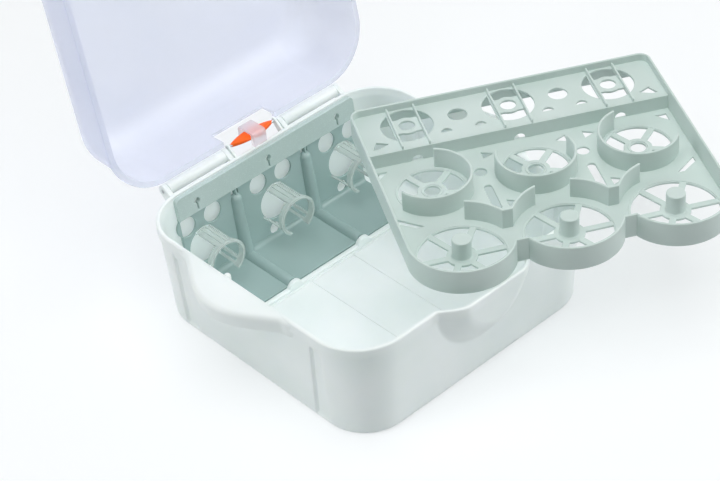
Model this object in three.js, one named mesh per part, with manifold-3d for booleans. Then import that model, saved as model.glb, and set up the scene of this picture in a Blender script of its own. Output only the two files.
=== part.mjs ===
// Microwave bottle sterilizer: a white tub with a grey bottle rack, a grey teat tray lying
// across the rims, and a translucent lid that stands open on its rear hinge.
// Millimetres, +Z up. The origin is the centre of the tub's underside; the front is -Y.
import * as THREE from 'three';
import { mergeVertices } from 'three/addons/utils/BufferGeometryUtils.js';
import Module from 'manifold-3d';

const wasm = await Module();
wasm.setup();

// Shared clearances and counts
const GAP = 0.3;              // between pieces that touch
const CUT = 4;                // how far a cutter runs past what it cuts
const PIN_CLEARANCE = 0.35;   // radial, between a pin and what turns on it
const SINK = 0.6;             // how far a joined piece runs into the one it is moulded on

// Tub
const TUB_HALF_X = 121.5;     // inner edge of the rim
const TUB_HALF_Y = 119.5;
const TUB_HEIGHT = 86;
const TUB_WALL = 2.4;
const TUB_FLOOR = 2.6;
const TUB_DRAFT = 5;          // the walls lean in by this much from rim to foot
const TUB_CORNER = 38;        // corner radius at the rim, inside
const RIM_LIP = 2.6;          // how far the rim's lip stands out from the wall
const RIM_LIP_DEPTH = 5;
const RIM_ROUND = 0.5;        // the bevel along the rim's edges
const FOOT_ROUND = 4;         // rounding between wall and underside
const BULGE_HALF_X = 47;      // the grip bulge in the middle of the front wall
const BULGE_DROP = 52;
const BULGE_DEPTH = 12.5;
const BULGE_SOFT_SHARE = 0.45; // how much of the way in from its edge the bulge rises
const CHANNEL_WIDTH = 11;     // upright channels in the side walls, beside each corner
const CHANNEL_DEPTH = 2.2;
const CHANNEL_TOP_INSET = 13;
const CHANNEL_FOOT_INSET = 5;

// Side handles
const HANDLE_HALF_LENGTH = 55;
const HANDLE_REACH = 27;
const HANDLE_OFFSET_Y = 7;
const HANDLE_PLATE = 2.6;
const HANDLE_SKIRT = 16;
const HANDLE_WALL = 2.4;
const HANDLE_STEPS = 22;

// Rail on the tub's floor that the rack's front edge lies against
const RAIL_WIDTH = 4;
const RAIL_HEIGHT = 2.2;
const RAIL_BUMP_MARGIN = 2;   // how far a half-round bump stands out past a ridge's radius

// Bottle rack
const RACK_SIDE_GAP = 30.5;   // from the rim's inner edge to the rack's end
const RACK_END_MARGIN = 19;   // from the outer bottles' middle line to the rack's end
const RACK_HALF_X = TUB_HALF_X - RACK_SIDE_GAP;
const BOTTLE_PITCH = RACK_HALF_X - RACK_END_MARGIN;
const RACK_REAR_GAP = 3.5;    // from the rim's inner edge to the panel's top edge
const RACK_LEAN = 9;          // how far the panel leans back over its height
const RACK_STRIP_DEPTH = 53.5;
const RACK_TOP_Y = TUB_HALF_Y - RACK_REAR_GAP;
const RACK_FOOT_Y = RACK_TOP_Y - RACK_LEAN;
const RACK_STRIP_FRONT_Y = RACK_FOOT_Y - RACK_STRIP_DEPTH;
const RACK_TOP_Z = TUB_HEIGHT - RIM_ROUND;
const RACK_SHEET = 2;
const RACK_STRIP_SHEET = 2.6;
const BAND_HEIGHT = 19;
const BAND_PROUD = 2;
const BAND_FOOT_Z = RACK_TOP_Z - BAND_HEIGHT;
const POST_RADIUS = 6.2;
const POST_TOP_RADIUS = 4.9;
const RIDGE_RADIUS = 5.2;
const POST_SLOT_WIDTH = 4;
const POST_SLOT_HEIGHT = 4.2;
const POST_TOP_Z = BAND_FOOT_Z - POST_SLOT_HEIGHT - GAP;
const RACK_HOLE_RADIUS = 8.5;
const RACK_HOLE_OFFSET = 12.8;
const RACK_HOLE_MARGIN = 0.4; // between a hole and the band above it
const LOW_HOLE_RADIUS = 5;
const LOW_HOLE_OFFSET = -5;
const LOW_HOLE_MARGIN = 1.7;  // between a low hole and the strip
const KEYHOLE_RADIUS = 2.6;
const KEYHOLE_STEM = 8;
const KEYHOLE_STEM_WIDTH = 1.6;

// Neck collars
const COLLAR_RISE = 29.1;     // the ring's middle above the strip
const COLLAR_RADIUS = 16.2;
const COLLAR_WALL = 1.6;
const COLLAR_LENGTH = 28;
const COLLAR_RING_LENGTH = 6;
const COLLAR_FLANGE = 2.2;
const COLLAR_FLANGE_PROUD = 1.6;
const COLLAR_GAP_ANGLE = 64;  // opening of the C-ring, in degrees
const COLLAR_RAIL_ANGLE = 50;
const COLLAR_FOOT_ANGLE = 9;
const COLLAR_FOOT_SPREAD = 40;
const COLLAR_FOOT_SPREAD_2 = 58;
const COLLAR_RAIL_EDGE_ANGLE = 8;
const COLLAR_RAIL_PROUD = 1;

// Teat tray, in its own axes: w across, u from front to back, origin at the first wheel
const TRAY_PITCH = 81;        // from lobe to lobe
const TRAY_ROW_PITCH = 80;    // from a wheel to the ring behind it
const TRAY_COLUMNS = 3;
const TRAY_WALL = 2;
const TRAY_FLOOR = 2;
const TRAY_RIM_HEIGHT = 20;
const TRAY_REAR_CORNER = 9;
const TRAY_STEP_HEIGHT = 12;
const TRAY_STEP_GAP = 11;     // from the arcs to the step
const TRAY_DECK_DEPTH = 52;   // from the step to the tray's back
const TRAY_NECK_SHARE = 0.42; // where two lobes meet, before their middles, in lobe radii
const TRAY_TURN_DEG = 28.8;
const TRAY_RIGHT_INSET = 114.5; // the first wheel's place, from the rims it lies across
const TRAY_FRONT_INSET = 26.3;
const WHEEL_HUB = 11.5;
const WHEEL_MARGIN = 8;       // between a wheel's openings and the tray's edge
const WHEEL_SPOKE = 5;
const WHEEL_SPOKES = 6;
const TEAT_POST_RADIUS = 7.2;
const TEAT_POST_WALL = 1.8;
const TEAT_POST_HEIGHT = 15.6;
const RING_HUB = 11;
const RING_HOLE = 6;
const RING_MARGIN = 5.5;      // between a ring's openings and the arc's outer face
const RING_SPOKES = 5;
const RING_TURN_DEG = 120;
const ARC_RADIUS = 31;
const ARC_WALL = 2;
const ARC_HEIGHT = 17;
const ARC_GAP_ANGLE = 141;
const ARC_SIDE_TURN = 50;
const GULL_MARGIN = 0.5;      // from a lobe's circle to the wing's front face
const GULL_START_ANGLE = 70;
const GULL_END_ANGLE = 29;
const DECK_RIB = 1.6;
const DECK_RIB_HEIGHT = 3;
const DECK_RIB_OFFSET = 10.7;
const DECK_RING_SET_BACK = 2; // behind the deck's middle
const DECK_RING_RADIUS = 10.2;
const DECK_RING_HOLE = 6.2;
const DECK_OPENING_RADIUS = 20.5;
const MOUSE_HOLE_RADIUS = 4.6;

// Latches
const LATCH_HALF_WIDTH = 22.5;
const LATCH_THICKNESS = 11;
const LATCH_DEPTH = 4.4;
const LATCH_PIN_RADIUS = 1.2;
const LATCH_BORE_WALL = 1.6;
const LATCH_EAR = 2;
const LATCH_EAR_RADIUS = 2.4;
const LATCH_RIM_GAP = 1;      // between the rear latch and the rim's lip
const LATCH_RIM_RISE = 4.5;   // the rear latch's pin above the rim
const REAR_LATCH_Y = TUB_HALF_Y + TUB_WALL + RIM_LIP + LATCH_RIM_GAP + LATCH_THICKNESS / 2;
const REAR_LATCH_Z = TUB_HEIGHT + LATCH_RIM_RISE;
const KEEPER_HALF_WIDTH = 6.5;
const KEEPER_SHEET = 1.8;
const KEEPER_CLEARANCE = 1;
const KEEPER_RISE = 5.4;      // room over the rear latch's pin, for its turn

// Lid, in its own axes: closed, with its hinge axis at the origin
const LID_WALL = 2;
const LID_HEIGHT = 62;
const LID_SHOULDER = 26;
const LID_DRAFT = 6;
const LID_EDGE_LIP = 2.8;
const LID_EDGE_DEPTH = 4;
const LID_OPEN_DEG = 100;
const LID_LIFT = 1.2;         // the closed lid's edge above the tub's rim
const VENT_LENGTH = 26;
const VENT_WIDTH = 4;
const VENT_PITCH = 12;
const VENT_COUNT = 3;
const NOTCH_SIDE_GAP = 1.2;   // the lid's rear edge is cut away round the rear latch
const NOTCH_HEADROOM = 3.3;   // over the rear latch's keeper
const NOTCH_HALF_WIDTH = LATCH_HALF_WIDTH + GAP + LATCH_EAR + NOTCH_SIDE_GAP;
const NOTCH_HEIGHT = LATCH_RIM_RISE + KEEPER_RISE + KEEPER_SHEET + NOTCH_HEADROOM;

// Hinge at the rear
const HINGE_PIN_RADIUS = 2;
const HINGE_BARREL_RADIUS = 5;
const HINGE_RIM_GAP = 0.5;    // between the barrels and the rim's lip
const HINGE_EAR = 4;
const HINGE_EAR_DROP = 15;    // how far an ear runs down the wall
const HINGE_RUN_ON = 2.5;     // how far the barrels run on past the rim's straight stretch
const HINGE_Y = TUB_HALF_Y + TUB_WALL + RIM_LIP + HINGE_RIM_GAP + HINGE_BARREL_RADIUS;
const HINGE_Z = TUB_HEIGHT;
const HINGE_INNER_X = NOTCH_HALF_WIDTH + HINGE_EAR;
const HINGE_OUTER_X = TUB_HALF_X - TUB_CORNER + HINGE_RUN_ON;

// Finishes
const finish = (color, roughness, extra = {}) =>
  new THREE.MeshStandardMaterial({ color, roughness, metalness: 0, ...extra });
const whitePlastic = () => finish(0xf0f5f6, 0.35);
const greyPlastic = () => finish(0x9fb1af, 0.45);
const orangePlastic = () => finish(0xfd761b, 0.35);
const frostedPlastic = () => finish(0xecf0fb, 0.3, { transparent: true, opacity: 0.5 });
const steel = () => finish(0xb8bcc0, 0.3, { metalness: 1 });

const rad = (degrees) => THREE.MathUtils.degToRad(degrees);
const smooth = (t) => THREE.MathUtils.smoothstep(t, 0, 1);

// Solids from three.js geometry, and their joins and cuts

function solid(geometry) {
  const bare = geometry.clone();
  for (const name of Object.keys(bare.attributes)) {
    if (name !== 'position') bare.deleteAttribute(name);
  }
  const merged = mergeVertices(bare, 1e-4);
  return new wasm.Manifold(new wasm.Mesh({
    numProp: 3,
    vertProperties: new Float32Array(merged.attributes.position.array),
    triVerts: new Uint32Array(merged.index.array),
  }));
}

const joined = (pieces) => pieces.reduce((all, piece) => all.add(piece));
const without = (body, cutters) => cutters.reduce((left, cutter) => left.subtract(cutter), body);

function toGeometry(body) {
  const mesh = body.getMesh();
  const geometry = new THREE.BufferGeometry();
  geometry.setAttribute('position', new THREE.BufferAttribute(mesh.vertProperties, 3));
  geometry.setIndex(new THREE.BufferAttribute(mesh.triVerts, 1));
  return geometry;
}

function box(lowX, highX, lowY, highY, lowZ, highZ) {
  const geometry = new THREE.BoxGeometry(highX - lowX, highY - lowY, highZ - lowZ);
  geometry.translate((lowX + highX) / 2, (lowY + highY) / 2, (lowZ + highZ) / 2);
  return solid(geometry);
}

function shapeOf(points, holes = []) {
  const shape = new THREE.Shape(points);
  shape.holes = holes.map((hole) => new THREE.Path(hole));
  return shape;
}

// A flat outline raised from low to high along Z
function raised(points, low, high, holes = []) {
  const settings = { depth: high - low, bevelEnabled: false, curveSegments: 1 };
  const geometry = new THREE.ExtrudeGeometry(shapeOf(points, holes), settings);
  geometry.translate(0, 0, low);
  return solid(geometry);
}

// The same outline raised along Y, with its own y axis standing up as Z
function raisedAlongY(points, lowY, highY) {
  const settings = { depth: highY - lowY, bevelEnabled: false, curveSegments: 1 };
  const geometry = new THREE.ExtrudeGeometry(shapeOf(points), settings);
  geometry.rotateX(Math.PI / 2);
  geometry.translate(0, highY, 0);
  return solid(geometry);
}

function raisedAlongX(points, lowX, highX) {
  const settings = { depth: highX - lowX, bevelEnabled: false, curveSegments: 1 };
  const geometry = new THREE.ExtrudeGeometry(shapeOf(points), settings);
  geometry.rotateZ(Math.PI / 2);
  geometry.rotateY(Math.PI / 2);
  geometry.translate(lowX, 0, 0);
  return solid(geometry);
}

function arcPoints(x, y, radius, startDeg, endDeg, steps) {
  return Array.from({ length: steps + 1 }, (_, i) => {
    const angle = rad(startDeg + (endDeg - startDeg) * (i / steps));
    return new THREE.Vector2(x + radius * Math.cos(angle), y + radius * Math.sin(angle));
  });
}

const ROUND_STEPS = 20;
const SMALL_ROUND_STEPS = 12;
const BEND_STEPS = 10;        // on a half-round
const POST_SIDES = 14;

const circle = (x, y, radius, steps = ROUND_STEPS) => (
  arcPoints(x, y, radius, 0, 360, steps).slice(0, -1));

const ringSector = (x, y, inner, outer, startDeg, endDeg, steps) => [
  ...arcPoints(x, y, outer, startDeg, endDeg, steps),
  ...arcPoints(x, y, inner, endDeg, startDeg, steps),
];

// A closed solid from a stack of outlines with the same number of points, capped at both ends
function lofted(rings) {
  const count = rings[0].length;
  const vertices = rings.flat().flatMap((p) => [p.x, p.y, p.z]);
  const faces = [];
  for (let r = 0; r + 1 < rings.length; r += 1) {
    for (let i = 0; i < count; i += 1) {
      const a = r * count + i;
      const b = r * count + ((i + 1) % count);
      faces.push(a, b, b + count, a, b + count, a + count);
    }
  }
  const cap = (r, flip) => {
    const flat = rings[r].map((p) => new THREE.Vector2(p.x, p.y));
    for (const [a, b, c] of THREE.ShapeUtils.triangulateShape(flat, [])) {
      const [i, j, k] = [a, b, c].map((n) => r * count + n);
      if (flip) faces.push(i, k, j);
      else faces.push(i, j, k);
    }
  };
  cap(0, true);
  cap(rings.length - 1, false);
  const geometry = new THREE.BufferGeometry();
  geometry.setAttribute('position', new THREE.Float32BufferAttribute(vertices, 3));
  geometry.setIndex(faces);
  return solid(geometry);
}

const mesh = (name, body, material) => {
  const made = new THREE.Mesh(toGeometry(body), material);
  made.name = name;
  return made;
};

// Tub

const TUB_CORNER_STEPS = 6;
const BULGE_STEPS = 12;
const TUB_LEVELS = 7;
const CHANNEL_EDGE_SHARES = [0.02, 0.2, 0.8, 0.98]; // where a channel's sides bend, across its width

// How far the tub's wall stands in from the rim's inner edge at a height
const tubInset = (z) => TUB_DRAFT * (1 - z / TUB_HEIGHT);

function bulge(x, z) {
  const reach = Math.hypot(x / BULGE_HALF_X, (TUB_HEIGHT - z) / BULGE_DROP);
  return BULGE_DEPTH * smooth((1 - reach) / BULGE_SOFT_SHARE);
}

function channel(along, z) {
  const start = TUB_HALF_Y - TUB_CORNER - CHANNEL_WIDTH;
  const across = (Math.abs(along) - start) / CHANNEL_WIDTH;
  const top = TUB_HEIGHT - CHANNEL_TOP_INSET;
  if (across <= 0 || across >= 1 || z > top || z < CHANNEL_FOOT_INSET) return 0;
  return CHANNEL_DEPTH;
}

// The tub's outline, grown by `out` from the rim's inner edge, at height z
function tubOutline(out, z) {
  const [hx, hy] = [TUB_HALF_X + out, TUB_HALF_Y + out];
  const corner = TUB_CORNER + out;
  const points = [];
  const add = (x, y) => points.push(new THREE.Vector3(x, y, z));
  const edge = TUB_HALF_Y - TUB_CORNER - CHANNEL_WIDTH;
  const wallY = CHANNEL_EDGE_SHARES.map((share) => edge + share * CHANNEL_WIDTH);
  const sideY = [...wallY.toReversed().map((y) => -y), 0, ...wallY];
  const cornerAt = (sx, sy, from) => arcPoints(sx * (hx - corner), sy * (hy - corner), corner,
    from, from + 90, TUB_CORNER_STEPS).forEach((p) => add(p.x, p.y));
  cornerAt(1, -1, -90);
  sideY.forEach((y) => add(hx - channel(y, z), y));
  cornerAt(1, 1, 0);
  add(0, hy);
  cornerAt(-1, 1, 90);
  sideY.toReversed().forEach((y) => add(channel(y, z) - hx, y));
  cornerAt(-1, -1, 180);
  for (let i = 0; i <= BULGE_STEPS; i += 1) {
    const x = BULGE_HALF_X * (2 * (i / BULGE_STEPS) - 1);
    add(x, -hy - bulge(x, z));
  }
  return points;
}

function tubShell() {
  const levels = (low, high) => Array.from({ length: TUB_LEVELS + 1 },
    (_, i) => low + (high - low) * (i / TUB_LEVELS));
  const lipFoot = TUB_HEIGHT - RIM_LIP_DEPTH;
  const footCorner = FOOT_ROUND * (1 - Math.SQRT1_2);
  const outer = [
    tubOutline(TUB_WALL - tubInset(0) - FOOT_ROUND, 0),
    tubOutline(TUB_WALL - tubInset(0) - footCorner, footCorner),
    ...levels(FOOT_ROUND, lipFoot).map((z) => tubOutline(TUB_WALL - tubInset(z), z)),
    tubOutline(TUB_WALL + RIM_LIP, lipFoot + RIM_ROUND),
    tubOutline(TUB_WALL + RIM_LIP, TUB_HEIGHT - RIM_ROUND),
    tubOutline(TUB_WALL + RIM_LIP - RIM_ROUND, TUB_HEIGHT),
  ];
  const inner = [
    tubOutline(-tubInset(TUB_FLOOR) - FOOT_ROUND, TUB_FLOOR),
    ...levels(FOOT_ROUND + TUB_FLOOR, TUB_HEIGHT).map((z) => tubOutline(-tubInset(z), z)),
    tubOutline(0, TUB_HEIGHT + CUT),
  ];
  return lofted(outer).subtract(lofted(inner));
}

// A handle's outline: a cosine bell that leaves the wall slowly at both ends
function handleOutline(inset, side) {
  const halfLength = HANDLE_HALF_LENGTH - inset;
  const reach = HANDLE_REACH - inset;
  const root = TUB_HALF_X + TUB_WALL - SINK;
  const points = Array.from({ length: HANDLE_STEPS + 1 }, (_, i) => {
    const angle = Math.PI * (i / HANDLE_STEPS) - Math.PI / 2;
    const along = angle / (Math.PI / 2);
    return new THREE.Vector2(side * (root + reach * Math.cos(angle)),
      HANDLE_OFFSET_Y + halfLength * along);
  });
  return side > 0 ? points : points.toReversed();
}

// A handle: a plate level with the rim and a skirt that turns down round its edge
function handle(side) {
  const foot = TUB_HEIGHT - HANDLE_SKIRT;
  const block = raised(handleOutline(0, side), foot, TUB_HEIGHT);
  const hollow = raised(handleOutline(HANDLE_WALL, side), foot - CUT, TUB_HEIGHT - HANDLE_PLATE);
  const reach = side * (TUB_HALF_X + TUB_WALL);
  const inside = side > 0
    ? box(0, reach - TUB_DRAFT / 2, -TUB_HALF_Y, TUB_HALF_Y, foot - CUT, TUB_HEIGHT + CUT)
    : box(reach + TUB_DRAFT / 2, 0, -TUB_HALF_Y, TUB_HALF_Y, foot - CUT, TUB_HEIGHT + CUT);
  return without(block, [hollow, inside]);
}

function floorRail() {
  const back = RACK_STRIP_FRONT_Y - GAP;
  const front = back - RAIL_WIDTH;
  const rail = box(-RACK_HALF_X, RACK_HALF_X, front, back, TUB_FLOOR - SINK, TUB_FLOOR + RAIL_HEIGHT);
  const bumps = [-1, 1].map((side) => raisedAlongY(
    arcPoints(side * BOTTLE_PITCH / 2, TUB_FLOOR, RIDGE_RADIUS + RAIL_BUMP_MARGIN, 0, 180, BEND_STEPS),
    front, back));
  return joined([rail, ...bumps]);
}

// Two pairs of ears behind the rear rim carry the hinge pins
function hingeEars() {
  const reach = TUB_HALF_Y + TUB_WALL;
  const ear = (lowX) => {
    const outline = [
      ...arcPoints(HINGE_Y, HINGE_Z, HINGE_BARREL_RADIUS, -60, 90, BEND_STEPS),
      new THREE.Vector2(reach, HINGE_Z),
      new THREE.Vector2(reach, HINGE_Z - HINGE_EAR_DROP),
    ];
    const bore = circle(HINGE_Y, HINGE_Z, HINGE_PIN_RADIUS + GAP, SMALL_ROUND_STEPS);
    return raisedAlongX(outline, lowX, lowX + HINGE_EAR)
      .subtract(raisedAlongX(bore, lowX - CUT, lowX + HINGE_EAR + CUT));
  };
  const places = [HINGE_INNER_X - HINGE_EAR, HINGE_OUTER_X];
  return places.flatMap((x) => [ear(x), ear(-x - HINGE_EAR)]);
}

// A pair of ears that hold a latch's pin at (y, z), from their outline seen from the end
function latchEars(outline, y, z) {
  const bore = circle(y, z, LATCH_PIN_RADIUS + GAP, SMALL_ROUND_STEPS);
  const places = [LATCH_HALF_WIDTH + GAP, -LATCH_HALF_WIDTH - GAP - LATCH_EAR];
  return places.map((x) => raisedAlongX(outline, x, x + LATCH_EAR)
    .subtract(raisedAlongX(bore, x - CUT, x + LATCH_EAR + CUT)));
}

function rearLatchEars() {
  const reach = TUB_HALF_Y + TUB_WALL;
  return latchEars([
    ...arcPoints(REAR_LATCH_Y, REAR_LATCH_Z, LATCH_EAR_RADIUS, -60, 120, BEND_STEPS),
    new THREE.Vector2(reach, TUB_HEIGHT - RIM_ROUND),
    new THREE.Vector2(reach, TUB_HEIGHT - RIM_LIP_DEPTH * 2),
  ], REAR_LATCH_Y, REAR_LATCH_Z);
}

function baseTub() {
  return joined([tubShell(), handle(-1), handle(1), floorRail(), ...hingeEars(),
    ...rearLatchEars()]);
}

// Bottle rack

const rackLow = TUB_FLOOR + GAP;
const stripTop = rackLow + RACK_STRIP_SHEET;
const rackLean = RACK_LEAN / (RACK_TOP_Z - stripTop);
const collarZ = stripTop + COLLAR_RISE;
const rackHoleZ = BAND_FOOT_Z - RACK_HOLE_MARGIN - RACK_HOLE_RADIUS;
const lowHoleZ = stripTop + LOW_HOLE_MARGIN + LOW_HOLE_RADIUS;
const keyholeZ = RACK_TOP_Z - BAND_HEIGHT / 2;
const panelY = (z) => RACK_FOOT_Y + rackLean * (z - stripTop);

// A sheet that leans with the rack's panel, seen from its end: y forward of the panel, then z
function leaningSheet(halfX, lowZ, highZ, proud, sheet) {
  const outline = [
    new THREE.Vector2(panelY(lowZ) - proud, lowZ),
    new THREE.Vector2(panelY(lowZ) + sheet, lowZ),
    new THREE.Vector2(panelY(highZ) + sheet, highZ),
    new THREE.Vector2(panelY(highZ) - proud, highZ),
  ];
  return raisedAlongX(outline, -halfX, halfX);
}

const through = (points, z) => raisedAlongY(points, panelY(z) - CUT * 2, panelY(z) + CUT * 2);

function rackPost(x) {
  const height = POST_TOP_Z - POST_TOP_RADIUS - rackLow;
  const stem = new THREE.CylinderGeometry(POST_TOP_RADIUS, POST_RADIUS, height, POST_SIDES);
  stem.rotateX(Math.PI / 2 - Math.atan(rackLean));
  const middle = rackLow + height / 2;
  stem.translate(x, panelY(middle), middle);
  const cap = new THREE.SphereGeometry(POST_TOP_RADIUS, POST_SIDES, POST_SIDES / 2);
  cap.rotateX(Math.PI / 2);
  const capZ = POST_TOP_Z - POST_TOP_RADIUS;
  cap.translate(x, panelY(capZ), capZ);
  const behind = leaningSheet(RACK_HALF_X, 0, POST_TOP_Z, -RACK_SHEET, POST_RADIUS * 2);
  const under = box(-RACK_HALF_X, RACK_HALF_X, 0, TUB_HALF_Y, -CUT, rackLow);
  return without(solid(stem).add(solid(cap)), [behind, under]);
}

function rackRidge(x) {
  const outline = arcPoints(x, stripTop - SINK, RIDGE_RADIUS, 0, 180, BEND_STEPS);
  return raisedAlongY(outline, RACK_STRIP_FRONT_Y, RACK_FOOT_Y);
}

function bottleRack() {
  const half = RACK_HALF_X;
  const strip = box(-half, half, RACK_STRIP_FRONT_Y, RACK_FOOT_Y + RACK_SHEET, rackLow, stripTop);
  const panel = leaningSheet(half, rackLow, RACK_TOP_Z, 0, RACK_SHEET);
  const band = leaningSheet(half, BAND_FOOT_Z, RACK_TOP_Z, BAND_PROUD, RACK_SHEET);
  const postX = [-BOTTLE_PITCH / 2, BOTTLE_PITCH / 2];
  const bays = [-BOTTLE_PITCH, 0, BOTTLE_PITCH];
  const cutters = bays.flatMap((x) => [
    through(circle(x - RACK_HOLE_OFFSET, rackHoleZ, RACK_HOLE_RADIUS), rackHoleZ),
    through(circle(x + RACK_HOLE_OFFSET, rackHoleZ, RACK_HOLE_RADIUS), rackHoleZ),
    through(circle(x, collarZ, COLLAR_RADIUS - COLLAR_WALL), collarZ),
    through(circle(x + LOW_HOLE_OFFSET, lowHoleZ, LOW_HOLE_RADIUS, SMALL_ROUND_STEPS), lowHoleZ),
    through(circle(x, keyholeZ, KEYHOLE_RADIUS, SMALL_ROUND_STEPS), keyholeZ),
    through([
      new THREE.Vector2(x - KEYHOLE_STEM_WIDTH / 2, keyholeZ - KEYHOLE_STEM),
      new THREE.Vector2(x + KEYHOLE_STEM_WIDTH / 2, keyholeZ - KEYHOLE_STEM),
      new THREE.Vector2(x + KEYHOLE_STEM_WIDTH / 2, keyholeZ),
      new THREE.Vector2(x - KEYHOLE_STEM_WIDTH / 2, keyholeZ),
    ], keyholeZ),
  ]);
  const slots = postX.map((x) => {
    const low = POST_TOP_Z + GAP;
    return box(x - POST_SLOT_WIDTH / 2, x + POST_SLOT_WIDTH / 2,
      RACK_FOOT_Y - CUT, RACK_TOP_Y + CUT, low, low + POST_SLOT_HEIGHT);
  });
  const plate = without(joined([strip, panel, band]), [...cutters, ...slots]);
  return joined([plate, ...postX.map(rackPost), ...postX.map(rackRidge)]);
}

// Neck collars: a C-ring on rails, with a flange that lies on the rack's panel

function neckCollar(x) {
  const back = panelY(collarZ) + COLLAR_RADIUS;
  const front = panelY(collarZ) - COLLAR_LENGTH;
  const inner = COLLAR_RADIUS - COLLAR_WALL;
  const half = COLLAR_GAP_ANGLE / 2;
  const sector = (low, high, from, to, steps, proud = 0) => raisedAlongY(
    ringSector(x, collarZ, inner, COLLAR_RADIUS + proud, from, to, steps), low, high);
  const ring = sector(front, front + COLLAR_RING_LENGTH, half - 90, 270 - half, ROUND_STEPS);
  const topRail = sector(front, back, 90 - COLLAR_RAIL_ANGLE / 2, 90 + COLLAR_RAIL_ANGLE / 2,
    BEND_STEPS);
  const railEdges = [-1, 1].map((side) => {
    const angle = 90 + side * (COLLAR_RAIL_ANGLE - COLLAR_RAIL_EDGE_ANGLE) / 2;
    return sector(front, back, angle - COLLAR_RAIL_EDGE_ANGLE / 2,
      angle + COLLAR_RAIL_EDGE_ANGLE / 2, 2, COLLAR_RAIL_PROUD);
  });
  const footRails = [-1, 1].flatMap((side) => [COLLAR_FOOT_SPREAD, COLLAR_FOOT_SPREAD_2].map((spread) => {
    const angle = -90 + side * spread;
    return sector(front, back, angle - COLLAR_FOOT_ANGLE / 2, angle + COLLAR_FOOT_ANGLE / 2, 2);
  }));
  const face = panelY(collarZ) - rackLean * COLLAR_RADIUS - COLLAR_FLANGE;
  const flange = raisedAlongY(circle(x, collarZ, COLLAR_RADIUS + COLLAR_FLANGE_PROUD), face, back)
    .subtract(raisedAlongY(circle(x, collarZ, inner), face - CUT, back + CUT));
  const behind = leaningSheet(RACK_HALF_X, 0, TUB_HEIGHT, GAP, COLLAR_LENGTH * 2);
  return without(joined([ring, topRail, ...railEdges, ...footRails, flange]), [behind]);
}

// Teat tray

const LOBE_RADIUS = TRAY_PITCH / 2;
const WHEEL_RADIUS = LOBE_RADIUS - WHEEL_MARGIN;
const RING_RADIUS = ARC_RADIUS - RING_MARGIN;
const TRAY_STEP_U = TRAY_ROW_PITCH + ARC_RADIUS + TRAY_STEP_GAP;
const TRAY_REAR_U = TRAY_STEP_U + TRAY_DECK_DEPTH;
const DECK_RING_U = TRAY_STEP_U + TRAY_DECK_DEPTH / 2 + DECK_RING_SET_BACK;
const columnW = (column) => column * TRAY_PITCH;
const columns = Array.from({ length: TRAY_COLUMNS }, (_, column) => column);
const trayRightW = columnW(TRAY_COLUMNS - 1) + LOBE_RADIUS;
const trayCentreW = columnW(TRAY_COLUMNS - 1) / 2;

const LOBE_STEPS = 16;
const CORNER_STEPS = 5;

// The tray's outline: round lobes at the front, straight sides and a straight back
function trayOutline(inset) {
  const radius = LOBE_RADIUS - inset;
  const neck = -Math.asin(TRAY_NECK_SHARE) * THREE.MathUtils.RAD2DEG;
  const points = [];
  for (const column of columns) {
    const from = column === 0 ? 180 : 180 - neck;
    const to = column === TRAY_COLUMNS - 1 ? 360 : 360 + neck;
    points.push(...arcPoints(columnW(column), 0, radius, from, to, LOBE_STEPS));
  }
  const corner = TRAY_REAR_CORNER - inset;
  const rearU = TRAY_REAR_U - TRAY_REAR_CORNER;
  points.push(...arcPoints(trayRightW - TRAY_REAR_CORNER, rearU, corner, 0, 90, CORNER_STEPS));
  points.push(...arcPoints(TRAY_REAR_CORNER - LOBE_RADIUS, rearU, corner, 90, 180, CORNER_STEPS));
  return points;
}

// Openings between the spokes of a wheel
function spokedHoles(w, u, inner, outer, spokes, turnDeg) {
  const stepDeg = 360 / spokes;
  return Array.from({ length: spokes }, (_, i) => {
    const middle = turnDeg + stepDeg * (i + 0.5);
    const shy = (radius) => Math.asin(WHEEL_SPOKE / 2 / radius) * THREE.MathUtils.RAD2DEG;
    const at = (radius) => stepDeg / 2 - shy(radius);
    return [
      ...arcPoints(w, u, outer, middle - at(outer), middle + at(outer), CORNER_STEPS),
      ...arcPoints(w, u, inner, middle + at(inner), middle - at(inner), 2),
    ];
  });
}

const polygon = (pairs) => pairs.map(([w, u]) => new THREE.Vector2(w, u));
const mirroredW = (points, w) => points.map((p) => new THREE.Vector2(w * 2 - p.x, p.y)).toReversed();

// Small openings of the lower floor, for one gap between two columns, from its middle line
const SLOT_HALF_WIDTH = 3.2;
const SLOT_LOW_SHARE = 0.5625;  // places along the tray, as shares of the row pitch
const SLOT_HIGH_SHARE = 0.875;
const EYE_SHARE = 1.125;
const TRIANGLE_SHARE = 0.5375;
const REAR_TRIANGLE_SHARE = 1.3125;
const EYE_RADIUS = 5;
const TRIANGLE_SIDE = 9;
const TRIANGLE_W = 8.5;
const REAR_TRIANGLE_W = 7;

// A small triangle that points away from a gap's middle line
const triangleAt = (w, u) => polygon([
  [w, u],
  [w + TRIANGLE_SIDE, u + TRIANGLE_SIDE / 2],
  [w, u + TRIANGLE_SIDE],
]);

function gapHoles(w) {
  const slot = [
    ...arcPoints(w, TRAY_ROW_PITCH * SLOT_HIGH_SHARE, SLOT_HALF_WIDTH, 0, 180, CORNER_STEPS),
    ...arcPoints(w, TRAY_ROW_PITCH * SLOT_LOW_SHARE, SLOT_HALF_WIDTH, 180, 360, CORNER_STEPS),
  ];
  const eye = circle(w, TRAY_ROW_PITCH * EYE_SHARE, EYE_RADIUS, SMALL_ROUND_STEPS);
  const triangle = triangleAt(w + TRIANGLE_W, TRAY_ROW_PITCH * TRIANGLE_SHARE);
  const rear = triangleAt(w + REAR_TRIANGLE_W, TRAY_ROW_PITCH * REAR_TRIANGLE_SHARE);
  return [slot, eye, triangle, mirroredW(triangle, w), rear, mirroredW(rear, w)];
}

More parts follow.
